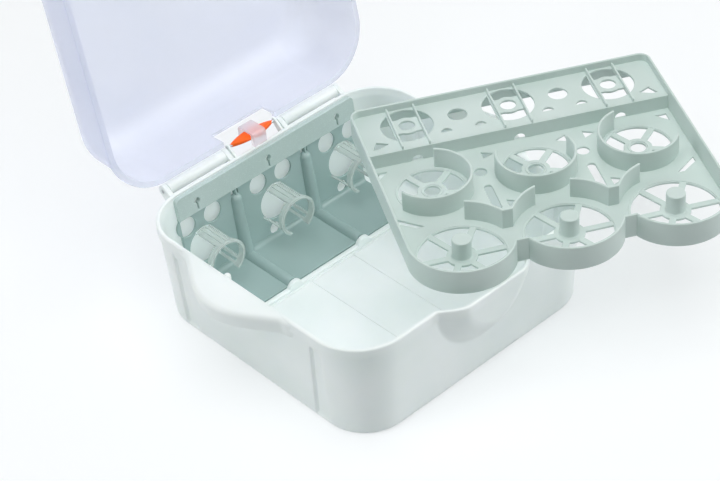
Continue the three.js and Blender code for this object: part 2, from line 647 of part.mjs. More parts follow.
// Openings beside the tray's side walls
const EDGE_SLOT_INSET = 6;
const EDGE_SLOT_WIDTH = 6;
const EDGE_SLOT_LOW_SHARE = 0.5125; // of the row pitch
const EDGE_SLOT_HIGH_SHARE = 0.7;

function edgeHoles() {
  const edge = -LOBE_RADIUS + EDGE_SLOT_INSET;
  const slotLow = TRAY_ROW_PITCH * EDGE_SLOT_LOW_SHARE;
  const slotHigh = TRAY_ROW_PITCH * EDGE_SLOT_HIGH_SHARE;
  const rear = TRAY_ROW_PITCH * REAR_TRIANGLE_SHARE;
  const crescent = polygon([
    [edge, slotHigh],
    [edge, slotHigh - EDGE_SLOT_WIDTH],
    [edge + EDGE_SLOT_WIDTH * 2, slotLow],
    [edge + EDGE_SLOT_WIDTH * 3, slotLow],
  ]);
  const triangle = polygon([
    [edge, rear],
    [edge + TRIANGLE_SIDE, rear + TRIANGLE_SIDE],
    [edge, rear + TRIANGLE_SIDE],
  ]);
  return [crescent, triangle].flatMap((hole) => [hole, mirroredW(hole, trayCentreW)]);
}

function lowerFloorHoles() {
  const wheels = columns.flatMap((c) => (
    spokedHoles(columnW(c), 0, WHEEL_HUB, WHEEL_RADIUS, WHEEL_SPOKES, 0)));
  const rings = columns.flatMap((c) => [
    ...spokedHoles(columnW(c), TRAY_ROW_PITCH, RING_HUB, RING_RADIUS, RING_SPOKES, RING_TURN_DEG),
    circle(columnW(c), TRAY_ROW_PITCH, RING_HOLE, SMALL_ROUND_STEPS),
  ]);
  const gaps = columns.slice(1).flatMap((c) => gapHoles(columnW(c) - LOBE_RADIUS));
  return [...wheels, ...rings, ...gaps, ...edgeHoles()];
}

// The raised deck's openings
const DECK_EYE_RADIUS = 7.6;
const DECK_EYE_BACK = 29;       // behind the step
const DECK_HALF_EYE_RADIUS = 4.4;
const DECK_HALF_EYE_W = 13.5;
const DECK_HALF_EYE_BACK = 10;
const DECK_CORNER_INSET = 12.5; // from the tray's side
const DECK_CORNER_BACK = 14;

function deckHoles() {
  const openings = columns.flatMap((c) => {
    const w = columnW(c);
    const cutBy = (reach) => Math.acos(reach / DECK_OPENING_RADIUS) * THREE.MathUtils.RAD2DEG;
    const side = cutBy(DECK_RIB_OFFSET + DECK_RIB);
    const lens = arcPoints(w, DECK_RING_U, DECK_OPENING_RADIUS, -side, side, BEND_STEPS);
    const rib = DECK_RIB_OFFSET - DECK_RIB / 2;
    const up = cutBy(rib);
    const far = Math.sqrt(DECK_RING_RADIUS ** 2 - (DECK_RING_RADIUS / 2) ** 2);
    const cap = [
      ...arcPoints(w, DECK_RING_U, DECK_OPENING_RADIUS, up, 180 - up, CORNER_STEPS),
      new THREE.Vector2(w - rib, DECK_RING_U + far),
      ...arcPoints(w, DECK_RING_U, DECK_RING_RADIUS, 120, 60, CORNER_STEPS),
      new THREE.Vector2(w + rib, DECK_RING_U + far),
    ];
    const foot = cap.map((p) => new THREE.Vector2(p.x, DECK_RING_U * 2 - p.y)).toReversed();
    const middle = circle(w, DECK_RING_U, DECK_RING_HOLE, SMALL_ROUND_STEPS);
    return [lens, mirroredW(lens, w), cap, foot, middle];
  });
  const between = columns.slice(1).flatMap((c) => {
    const w = columnW(c) - LOBE_RADIUS;
    const halfEye = arcPoints(w - DECK_HALF_EYE_W, TRAY_STEP_U + DECK_HALF_EYE_BACK,
      DECK_HALF_EYE_RADIUS, 0, 180, CORNER_STEPS);
    return [circle(w, TRAY_STEP_U + DECK_EYE_BACK, DECK_EYE_RADIUS), halfEye, mirroredW(halfEye, w)];
  });
  const cornerW = DECK_CORNER_INSET - LOBE_RADIUS;
  const cornerU = TRAY_STEP_U + DECK_CORNER_BACK;
  const corner = polygon([
    [cornerW, cornerU],
    [cornerW + TRIANGLE_SIDE, cornerU - TRIANGLE_SIDE / 2],
    [cornerW, cornerU - TRIANGLE_SIDE],
    [cornerW - TRIANGLE_SIDE / 2, cornerU - TRIANGLE_SIDE],
  ]);
  return [...openings, ...between, corner, mirroredW(corner, trayCentreW)];
}

function wall(points, thickness, low, high) {
  const outer = points.map((p, i) => {
    const before = points[Math.max(i - 1, 0)];
    const after = points[Math.min(i + 1, points.length - 1)];
    const normal = new THREE.Vector2(after.y - before.y, before.x - after.x).normalize();
    return p.clone().addScaledVector(normal, thickness);
  });
  const outline = [...points, ...outer.toReversed()];
  const turned = THREE.ShapeUtils.isClockWise(outline) ? outline.toReversed() : outline;
  return raised(turned, low, high);
}

function gullWing(w) {
  const left = arcPoints(w - LOBE_RADIUS, 0, LOBE_RADIUS + GULL_MARGIN, GULL_START_ANGLE,
    GULL_END_ANGLE, CORNER_STEPS);
  const right = mirroredW(left, w);
  return wall([...left, ...right], ARC_WALL, TRAY_FLOOR, TRAY_FLOOR + ARC_HEIGHT);
}

// The open arc of a column, which stands on the lower floor round a screw ring's place
function ringArc(column) {
  const facing = 90 + (1 - column) * ARC_SIDE_TURN;
  const from = facing + ARC_GAP_ANGLE / 2;
  const to = facing + 360 - ARC_GAP_ANGLE / 2;
  const inner = ARC_RADIUS - ARC_WALL;
  const outline = ringSector(columnW(column), TRAY_ROW_PITCH, inner, ARC_RADIUS, from, to, ROUND_STEPS);
  return raised(outline, TRAY_FLOOR, TRAY_FLOOR + ARC_HEIGHT);
}

// The post of a column, closed on top and hollow from below
function teatPost(column) {
  const top = TRAY_FLOOR + TEAT_POST_HEIGHT;
  const post = raised(circle(columnW(column), 0, TEAT_POST_RADIUS), TRAY_FLOOR, top);
  const bore = circle(columnW(column), 0, TEAT_POST_RADIUS - TEAT_POST_WALL);
  return post.subtract(raised(bore, TRAY_FLOOR - CUT, top - TEAT_POST_WALL));
}

function teatTray() {
  const deckLow = TRAY_STEP_HEIGHT;
  const deckTop = TRAY_STEP_HEIGHT + TRAY_FLOOR;
  const left = -LOBE_RADIUS - CUT;
  const right = trayRightW + CUT;
  const rim = raised(trayOutline(0), 0, TRAY_RIM_HEIGHT, [trayOutline(TRAY_WALL)]);
  const infill = trayOutline(TRAY_WALL / 2);
  const behindStep = box(left, right, TRAY_STEP_U, TRAY_REAR_U + CUT, -CUT, deckTop + CUT);
  const beforeStep = box(left, right, -LOBE_RADIUS - CUT, TRAY_STEP_U, -CUT, deckTop + CUT);
  const pierced = (low, high, holes) => without(raised(infill, low, high),
    holes.map((hole) => raised(hole, low - CUT, high + CUT)));
  const lower = pierced(0, TRAY_FLOOR, lowerFloorHoles()).subtract(behindStep);
  const deck = pierced(deckLow, deckTop, deckHoles()).subtract(beforeStep);
  const step = box(TRAY_WALL / 2 - LOBE_RADIUS, trayRightW - TRAY_WALL / 2, TRAY_STEP_U - TRAY_WALL,
    TRAY_STEP_U + SINK, 0, deckTop);
  const mouseHoles = columns.map((c) => raisedAlongY(
    arcPoints(columnW(c), TRAY_FLOOR, MOUSE_HOLE_RADIUS, 0, 180, BEND_STEPS),
    TRAY_STEP_U - CUT * 2, TRAY_STEP_U + CUT * 2));
  const postBores = columns.map((c) => raised(
    circle(columnW(c), 0, TEAT_POST_RADIUS - TEAT_POST_WALL), -CUT, TRAY_FLOOR + CUT));
  const ribs = columns.flatMap((c) => [-1, 1].map((side) => {
    const w = columnW(c) + side * DECK_RIB_OFFSET;
    return box(w - DECK_RIB / 2, w + DECK_RIB / 2, TRAY_STEP_U - TRAY_WALL,
      TRAY_REAR_U - TRAY_WALL / 2, deckLow, deckTop + DECK_RIB_HEIGHT);
  }));
  const body = without(joined([lower, deck, step]), mouseHoles);
  return without(joined([rim, body, ...ribs]), postBores);
}

// Lid: a dome with its hinge axis at the origin, as it lies when closed

const LID_LEVELS = 6;
const LID_CORNER_STEPS = 7;
const lidFrontY = -(HINGE_Y + TUB_HALF_Y);
const lidLow = TUB_HEIGHT + LID_LIFT - HINGE_Z;

function lidOutline(out, z) {
  const hx = TUB_HALF_X + out;
  const hy = TUB_HALF_Y + out;
  const corner = TUB_CORNER + out;
  const points = [];
  for (const [sx, sy, from] of [[1, -1, -90], [1, 1, 0], [-1, 1, 90], [-1, -1, 180]]) {
    const bend = arcPoints(sx * (hx - corner), sy * (hy - corner), corner, from, from + 90,
      LID_CORNER_STEPS);
    points.push(...bend.map((p) => new THREE.Vector3(p.x, p.y - HINGE_Y, lidLow + z)));
  }
  return points;
}

function domeRings(shell, height) {
  const rings = [];
  const shoulder = LID_SHOULDER;
  const springing = height - shoulder;
  rings.push(lidOutline(shell, 0));
  for (let i = 0; i <= LID_LEVELS; i += 1) {
    const angle = Math.PI / 2 * (i / LID_LEVELS);
    const inset = LID_DRAFT * (springing / height) + shoulder * (1 - Math.cos(angle));
    rings.push(lidOutline(shell - inset, springing + shoulder * Math.sin(angle)));
  }
  return rings;
}

function lidShell() {
  const outer = lofted(domeRings(TUB_WALL, LID_HEIGHT));
  const lip = lofted([
    lidOutline(TUB_WALL + LID_EDGE_LIP, 0),
    lidOutline(TUB_WALL + LID_EDGE_LIP, LID_EDGE_DEPTH),
  ]);
  const below = lidOutline(TUB_WALL - LID_WALL, -CUT);
  const inner = lofted([below, ...domeRings(TUB_WALL - LID_WALL, LID_HEIGHT - LID_WALL)]);
  const vents = Array.from({ length: VENT_COUNT }, (_, i) => {
    const x = VENT_PITCH * (i - (VENT_COUNT - 1) / 2);
    const half = VENT_WIDTH / 2;
    const reach = (VENT_LENGTH - VENT_WIDTH) / 2;
    const outline = [
      ...arcPoints(x, reach - HINGE_Y, half, 0, 180, CORNER_STEPS),
      ...arcPoints(x, -reach - HINGE_Y, half, 180, 360, CORNER_STEPS),
    ];
    return raised(outline, lidLow + LID_HEIGHT - LID_WALL - CUT, lidLow + LID_HEIGHT + CUT);
  });
  const wallY = lidFrontY - TUB_WALL / 2;
  const ears = latchEars([
    ...arcPoints(frontLatchY, frontLatchZ, LATCH_EAR_RADIUS, 180, 300, BEND_STEPS),
    new THREE.Vector2(wallY, lidLow),
    new THREE.Vector2(wallY, frontLatchZ + LATCH_EAR_RADIUS),
    new THREE.Vector2(frontLatchY, frontLatchZ + LATCH_EAR_RADIUS),
  ], frontLatchY, frontLatchZ);
  const barrelRoom = [-1, 1].map((side) => barrelSpace(side));
  const notch = box(-NOTCH_HALF_WIDTH, NOTCH_HALF_WIDTH, -TUB_HALF_Y / 2, CUT, -CUT,
    lidLow + NOTCH_HEIGHT);
  return joined([without(outer.add(lip), [inner, ...vents, ...barrelRoom, notch]), ...ears]);
}

const frontLatchY = lidFrontY - TUB_WALL - LID_EDGE_LIP - LATCH_THICKNESS / 2;
const frontLatchZ = lidLow + LID_EDGE_DEPTH + LATCH_DEPTH;

// The room that the lid leaves round a barrel and its two ears
function barrelSpace(side) {
  const radius = HINGE_BARREL_RADIUS + GAP;
  const low = HINGE_INNER_X - HINGE_EAR - GAP;
  const high = HINGE_OUTER_X + HINGE_EAR + GAP;
  const [from, to] = side > 0 ? [low, high] : [-high, -low];
  return raisedAlongX(circle(0, 0, radius), from, to);
}

// A hinge barrel, held in the room that the lid's rear edge leaves for it
function lidBarrel(side) {
  const low = HINGE_INNER_X + GAP;
  const high = HINGE_OUTER_X - GAP;
  const [from, to] = side > 0 ? [low, high] : [-high, -low];
  const tube = raisedAlongX(circle(0, 0, HINGE_BARREL_RADIUS), from, to);
  const room = circle(0, 0, HINGE_PIN_RADIUS + PIN_CLEARANCE, SMALL_ROUND_STEPS);
  const bore = raisedAlongX(room, from - CUT, to + CUT);
  return tube.subtract(bore);
}

function hingePin(side) {
  const low = HINGE_INNER_X - HINGE_EAR;
  const high = HINGE_OUTER_X + HINGE_EAR;
  const [from, to] = side > 0 ? [low, high] : [-high, -low];
  return raisedAlongX(circle(HINGE_Y, HINGE_Z, HINGE_PIN_RADIUS, SMALL_ROUND_STEPS), from, to);
}

const LATCH_STEPS = 12;       // along each side of a lever

// A latch lever, lens-shaped from above, with a barrel along its pin
function latchLever(y, z) {
  const half = LATCH_HALF_WIDTH;
  const outline = [-1, 1].flatMap((side) => Array.from({ length: LATCH_STEPS }, (_, i) => {
    const t = side * (1 - 2 * (i / LATCH_STEPS));
    return new THREE.Vector2(t * -half, y + side * LATCH_THICKNESS / 2 * -(1 - t * t));
  }));
  const body = raised(THREE.ShapeUtils.isClockWise(outline) ? outline.toReversed() : outline,
    z - LATCH_DEPTH / 2, z + LATCH_DEPTH / 2);
  const rod = (radius, reach) => raisedAlongX(circle(y, z, radius, SMALL_ROUND_STEPS), -reach, reach);
  const barrel = rod(LATCH_PIN_RADIUS + LATCH_BORE_WALL, half);
  const bore = rod(LATCH_PIN_RADIUS + PIN_CLEARANCE, half + CUT);
  return body.add(barrel).subtract(bore);
}

function latchPin(y, z) {
  const half = LATCH_HALF_WIDTH + GAP + LATCH_EAR;
  return raisedAlongX(circle(y, z, LATCH_PIN_RADIUS, SMALL_ROUND_STEPS), -half, half);
}

// The keeper: a clear strap from the rear rim over the middle of the rear latch
function latchKeeper() {
  const low = TUB_HEIGHT + GAP;
  const high = REAR_LATCH_Z + KEEPER_RISE;
  const front = TUB_HALF_Y + RIM_ROUND;
  const back = REAR_LATCH_Y + LATCH_THICKNESS / 2 + KEEPER_CLEARANCE + KEEPER_SHEET;
  const outline = [
    new THREE.Vector2(front, low),
    new THREE.Vector2(front + KEEPER_SHEET * 2, low),
    new THREE.Vector2(front + KEEPER_SHEET * 2, high),
    new THREE.Vector2(back - KEEPER_SHEET, high),
    new THREE.Vector2(back - KEEPER_SHEET, TUB_HEIGHT),
    new THREE.Vector2(back, TUB_HEIGHT),
    new THREE.Vector2(back, high + KEEPER_SHEET),
    new THREE.Vector2(front, high + KEEPER_SHEET),
  ];
  return raisedAlongX(outline, -KEEPER_HALF_WIDTH, KEEPER_HALF_WIDTH);
}

// Assembly

const sterilizer = new THREE.Group();
sterilizer.add(mesh('base_tub', baseTub(), whitePlastic()));
sterilizer.add(mesh('bottle_rack', bottleRack(), greyPlastic()));
[-1, 0, 1].forEach((bay, i) => {
  sterilizer.add(mesh(`neck_collar_${i + 1}`, neckCollar(bay * BOTTLE_PITCH), greyPlastic()));
});

const tray = new THREE.Group();
tray.position.set(TUB_HALF_X - TRAY_RIGHT_INSET, TRAY_FRONT_INSET - TUB_HALF_Y, TUB_HEIGHT + GAP);
tray.rotation.z = -rad(TRAY_TURN_DEG);
tray.add(mesh('teat_tray', teatTray(), greyPlastic()));
columns.forEach((c) => {
  tray.add(mesh(`ring_arc_${c + 1}`, ringArc(c), greyPlastic()));
  tray.add(mesh(`teat_post_${c + 1}`, teatPost(c), greyPlastic()));
});
columns.slice(1).forEach((c) => {
  tray.add(mesh(`wing_wall_${c}`, gullWing(columnW(c) - LOBE_RADIUS), greyPlastic()));
});
sterilizer.add(tray);

sterilizer.add(mesh('hinge_pin_left', hingePin(-1), steel()));
sterilizer.add(mesh('hinge_pin_right', hingePin(1), steel()));
sterilizer.add(mesh('rear_latch', latchLever(REAR_LATCH_Y, REAR_LATCH_Z), orangePlastic()));
sterilizer.add(mesh('rear_latch_pin', latchPin(REAR_LATCH_Y, REAR_LATCH_Z), steel()));
sterilizer.add(mesh('rear_latch_keeper', latchKeeper(), frostedPlastic()));

const lid = new THREE.Group();
lid.position.set(0, HINGE_Y, HINGE_Z);
lid.rotation.x = -rad(LID_OPEN_DEG);
lid.add(mesh('lid_shell', lidShell(), frostedPlastic()));
lid.add(mesh('lid_barrel_left', lidBarrel(-1), whitePlastic()));
lid.add(mesh('lid_barrel_right', lidBarrel(1), whitePlastic()));
lid.add(mesh('front_latch', latchLever(frontLatchY, frontLatchZ), orangePlastic()));
lid.add(mesh('front_latch_pin', latchPin(frontLatchY, frontLatchZ), steel()));
sterilizer.add(lid);

export default sterilizer;
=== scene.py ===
"""Looks of a microwave bottle sterilizer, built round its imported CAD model.

A white polypropylene tub holds a grey bottle rack with three neck collars. A grey teat tray
lies across the front and right rims, and a frosted lid stands open on its rear hinge.
Sizes are in millimetres in the model's own frame: +Z up, the front is -Y.
"""
from __future__ import annotations

import logging
import math
from dataclasses import dataclass, field
from enum import Enum
from typing import Callable, Sequence

import bmesh
import bpy
import numpy as np
from mathutils import Matrix, Vector
from mathutils.geometry import tessellate_polygon

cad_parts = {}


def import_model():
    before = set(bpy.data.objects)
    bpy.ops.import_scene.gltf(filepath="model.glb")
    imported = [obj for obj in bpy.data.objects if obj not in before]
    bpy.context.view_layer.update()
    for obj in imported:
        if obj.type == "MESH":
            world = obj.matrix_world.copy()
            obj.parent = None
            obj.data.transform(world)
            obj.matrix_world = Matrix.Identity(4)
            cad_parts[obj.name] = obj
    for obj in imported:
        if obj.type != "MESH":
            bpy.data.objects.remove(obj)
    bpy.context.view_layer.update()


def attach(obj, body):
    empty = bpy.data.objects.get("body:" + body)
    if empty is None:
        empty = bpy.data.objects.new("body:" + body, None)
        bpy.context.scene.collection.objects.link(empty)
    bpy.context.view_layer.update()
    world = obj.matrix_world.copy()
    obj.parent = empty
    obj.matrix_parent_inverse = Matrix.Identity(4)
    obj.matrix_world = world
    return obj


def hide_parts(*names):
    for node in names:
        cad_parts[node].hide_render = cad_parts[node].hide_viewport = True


LOG = logging.getLogger("sterilizer")
MM = 0.001
CLEARANCE = 0.3
FACET_ALLOWANCE = 0.12  # keeps fine curves inside the coarser facets of the CAD solids
SINK = 0.6  # how far a form reaches into the one that carries it
POLE = 0.01  # radius at which a turned profile meets its axis
SUPPORT = 1.4  # a rounded rim's inner support loop, in radii of the rounding
MITRE_LIMIT = 0.4  # keeps a sharp corner's mitre from running away
WELD_M = 1e-7  # points closer than this become one
SHARP_EDGE = 0.01  # rounding of the solids that only cut
FLAT = 0.999  # share of a normal along an axis from which a wall counts as facing it

Pair = tuple[float, float]
Triple = tuple[float, float, float]


# Mesh forms, in millimetres


@dataclass
class Form:
    """A mesh before it becomes an object.

    Attributes:
        points: places of the vertices, one row each, in millimetres.
        faces: vertex numbers of each face.
    """

    points: np.ndarray
    faces: list[tuple[int, ...]]

    def placed(self, change: Callable[[np.ndarray], np.ndarray]) -> "Form":
        """The same faces with their points passed through a function of whole arrays."""
        return Form(change(self.points), self.faces)

    def flipped(self, side: int = -1) -> "Form":
        """The form mirrored about x = 0 where side is -1, and as it is where side is 1."""
        return self.placed(lambda p: p * np.array([side, 1.0, 1.0]))


class Axis(Enum):
    """Direction that a flat outline is raised along, as the order that turns its points there."""

    UP = (0, 1, 2)
    ALONG_X = (2, 0, 1)
    ALONG_Y = (0, 2, 1)


def joined(forms: Sequence[Form]) -> Form:
    """Puts several forms into one mesh, each with its own closed surface.

    Args:
        forms: the forms.

    Returns:
        The joined form.
    """
    starts = np.cumsum([0] + [len(form.points) for form in forms[:-1]])
    faces = [tuple(int(start) + i for i in face)
             for start, form in zip(starts, forms) for face in form.faces]
    return Form(np.concatenate([form.points for form in forms]), faces)


def smooth(t: np.ndarray) -> np.ndarray:
    """Smoothstep: 3t^2 - 2t^3 of t held between 0 and 1."""
    held = np.clip(t, 0.0, 1.0)
    return held * held * (3.0 - 2.0 * held)


def stations(knots: Sequence[float], steps: Sequence[int]) -> np.ndarray:
    """Places along a line, with its own number of steps for each stretch between two knots."""
    stretches = zip(knots, knots[1:], steps)
    return np.concatenate([*(np.linspace(a, b, n + 1)[:-1] for a, b, n in stretches), knots[-1:]])


def arc(centre: Pair, radius: float, start: float, end: float, steps: int = 24) -> np.ndarray:
    """Points centre + radius (cos a, sin a), with a in degrees from start to end."""
    a = np.radians(np.linspace(start, end, steps + 1))
    return np.stack([centre[0] + radius * np.cos(a), centre[1] + radius * np.sin(a)], axis=-1)


def circle(x: float, y: float, radius: float, steps: int = 48) -> np.ndarray:
    """A full circle without a doubled last point."""
    return arc((x, y), radius, 0.0, 360.0, steps)[:-1]


def rectangle(x: Pair, y: Pair) -> np.ndarray:
    """Outline of a rectangle between two places along each axis."""
    return np.array([[x[0], y[0]], [x[1], y[0]], [x[1], y[1]], [x[0], y[1]]])


def mirrored(outline: np.ndarray, middle: float) -> np.ndarray:
    """The outline reflected about the line x = middle."""
    return np.stack([2.0 * middle - outline[:, 0], outline[:, 1]], axis=-1)[::-1]


def on_side(side: int, low: float, high: float) -> Pair:
    """A stretch along X where side is 1, or its mirror about x = 0 where side is -1."""
    return (low, high) if side > 0 else (-high, -low)


def lifted(flat: np.ndarray, height: np.ndarray) -> np.ndarray:
    """A grid of flat points, (rows, points, 2), with heights broadcast over it."""
    level = np.broadcast_to(height, flat.shape[:2])
    return np.concatenate([flat, level[..., None]], axis=-1)


def wound(outline: np.ndarray, counterclockwise: bool) -> np.ndarray:
    """The outline in the asked direction, told by the sign of its shoelace area.

    Args:
        outline: points of the outline.
        counterclockwise: the direction.

    Returns:
        The outline or its reverse.
    """
    x, y = outline.T
    area = float(np.sum(x * np.roll(y, -1) - np.roll(x, -1) * y))
    return outline if (area > 0.0) == counterclockwise else outline[::-1]


def drawn_in(outline: np.ndarray, distance: float) -> np.ndarray:
    """Moves a closed outline to its left, with mitred corners.

    Each point goes along (n1 + n2) / (1 + n1.n2), where n1 and n2 are the left normals of
    the edges before and after it.

    Args:
        outline: points of the outline.
        distance: how far it moves.

    Returns:
        The moved outline.
    """
    after = np.roll(outline, -1, axis=0) - outline
    after = after / np.maximum(np.linalg.norm(after, axis=1, keepdims=True), 1e-9)
    normal = np.stack([-after[:, 1], after[:, 0]], axis=-1)
    before = np.roll(normal, 1, axis=0)
    spread = np.maximum(1.0 + np.sum(normal * before, axis=1, keepdims=True), MITRE_LIMIT)
    return outline + distance * (normal + before) / spread


def rounded_plan(runs: Sequence[np.ndarray], steps: int) -> tuple[np.ndarray, np.ndarray]:
    """A rounded rectangle as points of its core rectangle with an outward normal at each.

    Args:
        runs: core points along the front, the right side, the back and the left side.
        steps: steps of the bend round each corner.

    Returns:
        The core points and the normals.
    """
    bend = np.linspace(0.0, 90.0, steps + 1)[1:-1]
    cores, normals = [], []
    for run, facing in zip(runs, (-90.0, 0.0, 90.0, 180.0)):
        angle = np.radians(np.concatenate([np.full(len(run), facing), facing + bend]))
        cores.append(np.concatenate([run, np.repeat(run[-1:], len(bend), axis=0)]))
        normals.append(np.stack([np.cos(angle), np.sin(angle)], axis=-1))
    return np.concatenate(cores), np.concatenate(normals)


def grid_faces(rows: int, columns: int, ring: bool = False,
               start: int = 0) -> list[tuple[int, ...]]:
    """Quads between closed sections whose points are numbered row by row.

    Args:
        rows: number of sections.
        columns: number of points of a section.
        ring: True joins the last section to the first.
        start: number of the first point.

    Returns:
        The vertex numbers of each quad.
    """
    r = np.arange(rows if ring else rows - 1)[:, None]
    c = np.arange(columns)[None, :]
    down, right = (r + 1) % rows, (c + 1) % columns
    corners = [r * columns + c, r * columns + right, down * columns + right, down * columns + c]
    quads = np.stack([np.broadcast_to(k, (r.size, c.size)) for k in corners], axis=-1)
    return [tuple(quad) for quad in (quads.reshape(-1, 4) + start).tolist()]


def loft(grid: np.ndarray, ring: bool = False) -> Form:
    """A closed surface over a stack of closed sections.

    Args:
        grid: sections as rows of points, (rows, points of a section, 3).
        ring: True joins the last section to the first; otherwise each end is closed by a fan
            to the mean of its section.

    Returns:
        The closed form.
    """
    rows, columns = grid.shape[:2]
    points = grid.reshape(-1, 3)
    faces = grid_faces(rows, columns, ring)
    if ring:
        return Form(points, faces)
    tips = np.stack([grid[0].mean(axis=0), grid[-1].mean(axis=0)])
    count, last = len(points), (rows - 1) * columns
    for i in range(columns):
        k = (i + 1) % columns
        faces += [(count, k, i), (count + 1, last + i, last + k)]
    return Form(np.concatenate([points, tips]), faces)


def prism(outline: np.ndarray, low: float, high: float, holes: Sequence[np.ndarray] = (),
          edge: float = 0.3, axis: Axis = Axis.UP) -> Form:
    """A flat outline raised between two levels, with its rims and those of its holes rounded.

    Round each rim the sides run inset(a) = edge (1 - sin a), level(a) = edge (1 - cos a).

    Args:
        outline: points of the outline.
        low: lower level.
        high: upper level.
        holes: outlines of the holes.
        edge: radius of the rounding.
        axis: direction that the outline is raised along.

    Returns:
        The closed form.
    """
    bend = np.radians(np.linspace(0.0, 90.0, 4))
    inset, rise = edge * (1.0 - np.sin(bend)), edge * (1.0 - np.cos(bend))
    support = [edge * SUPPORT]
    insets = np.concatenate([support, inset, inset[::-1], support])
    levels = np.concatenate([[low], low + rise, (high - rise)[::-1], [high]])
    loops = [wound(outline, True), *(wound(hole, False) for hole in holes)]
    points, faces, feet, start = [], [], [], 0
    for loop in loops:
        rows = np.stack([np.column_stack([drawn_in(loop, d), np.full(len(loop), z)])
                         for d, z in zip(insets, levels)])
        points.append(rows.reshape(-1, 3))
        faces += grid_faces(len(insets), len(loop), start=start)
        feet.append(np.arange(len(loop)) + start)
        start += len(points[-1])
    lids = tessellate_polygon([[Vector(p) for p in block[: len(loop)]]
                               for block, loop in zip(points, loops)])
    foot = np.concatenate(feet)
    top = np.concatenate([first + (len(insets) - 1) * len(first) for first in feet])
    faces += [tuple(int(foot[i]) for i in face) for face in lids]
    faces += [tuple(int(top[i]) for i in reversed(face)) for face in lids]
    return Form(np.concatenate(points), faces).placed(lambda p: p[:, list(axis.value)])


def slab(x: Pair, y: Pair, z: Pair, edge: float = 0.3) -> Form:
    """A rectangular bar with rounded rims."""
    return prism(rectangle(x, y), z[0], z[1], edge=edge)


def wall_section(thickness: float, low: float, high: float, top: float,
                 foot: float = 0.25) -> np.ndarray:
    """Closed cross-section of an upright wall: a rectangle with rounded corners.

    Args:
        thickness: its width.
        low: lower level.
        high: upper level.
        top: radius of its upper corners.
        foot: radius of its lower corners.

    Returns:
        Rows of (across, height).
    """
    half = thickness / 2.0
    return np.concatenate([
        arc((half - foot, low + foot), foot, -90.0, 0.0, 3),
        arc((half - top, high - top), top, 0.0, 90.0, 6),
        arc((top - half, high - top), top, 90.0, 180.0, 6),
        arc((foot - half, low + foot), foot, 180.0, 270.0, 3),
    ])


def ribbon(path: np.ndarray, section: np.ndarray, closed: bool = False) -> Form:
    """Carries a wall's cross-section along a flat path.

    A point is path(s) + n(s) across, at the section's height, with n the path's left normal.
    The ends of an open path are rounded: the section narrows as cos a over a run of half its
    width times sin a.

    Args:
        path: points of the path, (n, 2).
        section: closed cross-section, (m, 2), as across and height.
        closed: True when the path returns to its start.

    Returns:
        The closed form.
    """
    tangent = np.gradient(path, axis=0)
    if closed:
        tangent = np.roll(path, -1, axis=0) - np.roll(path, 1, axis=0)
    tangent = tangent / np.linalg.norm(tangent, axis=1, keepdims=True)
    width = np.ones(len(path))
    if not closed:
        turn = np.radians(np.linspace(85.0, 15.0, 5))
        run = np.ptp(section[:, 0]) / 2.0 * np.sin(turn)[:, None]
        lead, tail = path[0] - run * tangent[0], path[-1] + run[::-1] * tangent[-1]
        path = np.concatenate([lead, path, tail])
        first, last = (np.repeat(end, len(turn), axis=0) for end in (tangent[:1], tangent[-1:]))
        tangent = np.concatenate([first, tangent, last])
        width = np.concatenate([np.cos(turn), width, np.cos(turn)[::-1]])
    normal = np.stack([-tangent[:, 1], tangent[:, 0]], axis=-1)
    across = width[:, None, None] * section[None, :, :1]
    return loft(lifted(path[:, None, :] + normal[:, None, :] * across, section[:, 1]), ring=closed)


def turned(profile: np.ndarray, x: float, y: float, steps: int = 40) -> Form:
    """A profile turned about an upright axis: x + r cos a, y + r sin a at the profile's height.

    Args:
        profile: rows of (radius, height).
        x: place of the axis.
        y: place of the axis.
        steps: steps of the turn.

    Returns:
        The closed form.
    """
    angle = np.linspace(0.0, 2.0 * np.pi, steps, endpoint=False)
    radius = profile[:, :1]
    flat = np.stack([x + radius * np.cos(angle), y + radius * np.sin(angle)], axis=-1)
    return loft(lifted(flat, profile[:, 1:]))


def rod(y: float, z: float, radius: float, stretch: Pair, bore: float = 0.0) -> Form:
    """A round bar or tube along X, with its ends rounded."""
    holes = [circle(y, z, bore, 32)] if bore else []
    return prism(circle(y, z, radius, 40), *stretch, holes, edge=0.35, axis=Axis.ALONG_X)


def new_object(name: str, data: bpy.types.ID) -> bpy.types.Object:
    """A new object in the scene, at the origin.

    Args:
        name: its name.
        data: its mesh, lamp or camera.

    Returns:
        The object.
    """
    made = bpy.data.objects.new(name, data)
    bpy.context.collection.objects.link(made)
    return made


def bare_mesh(name: str, form: Form) -> bpy.types.Mesh:
    """A Blender mesh in metres, with doubles merged and every surface facing out.

    Args:
        name: the mesh's name.
        form: its form in millimetres.

    Returns:
        The mesh.
    """
    mesh = bpy.data.meshes.new(name)
    mesh.from_pydata((form.points * MM).tolist(), [], form.faces)
    shaping = bmesh.new()
    shaping.from_mesh(mesh)
    bmesh.ops.remove_doubles(shaping, verts=shaping.verts, dist=WELD_M)
    bmesh.ops.dissolve_degenerate(shaping, edges=shaping.edges, dist=WELD_M / 10.0)
    bmesh.ops.recalc_face_normals(shaping, faces=shaping.faces)
    shaping.to_mesh(mesh)
    shaping.free()
    return mesh


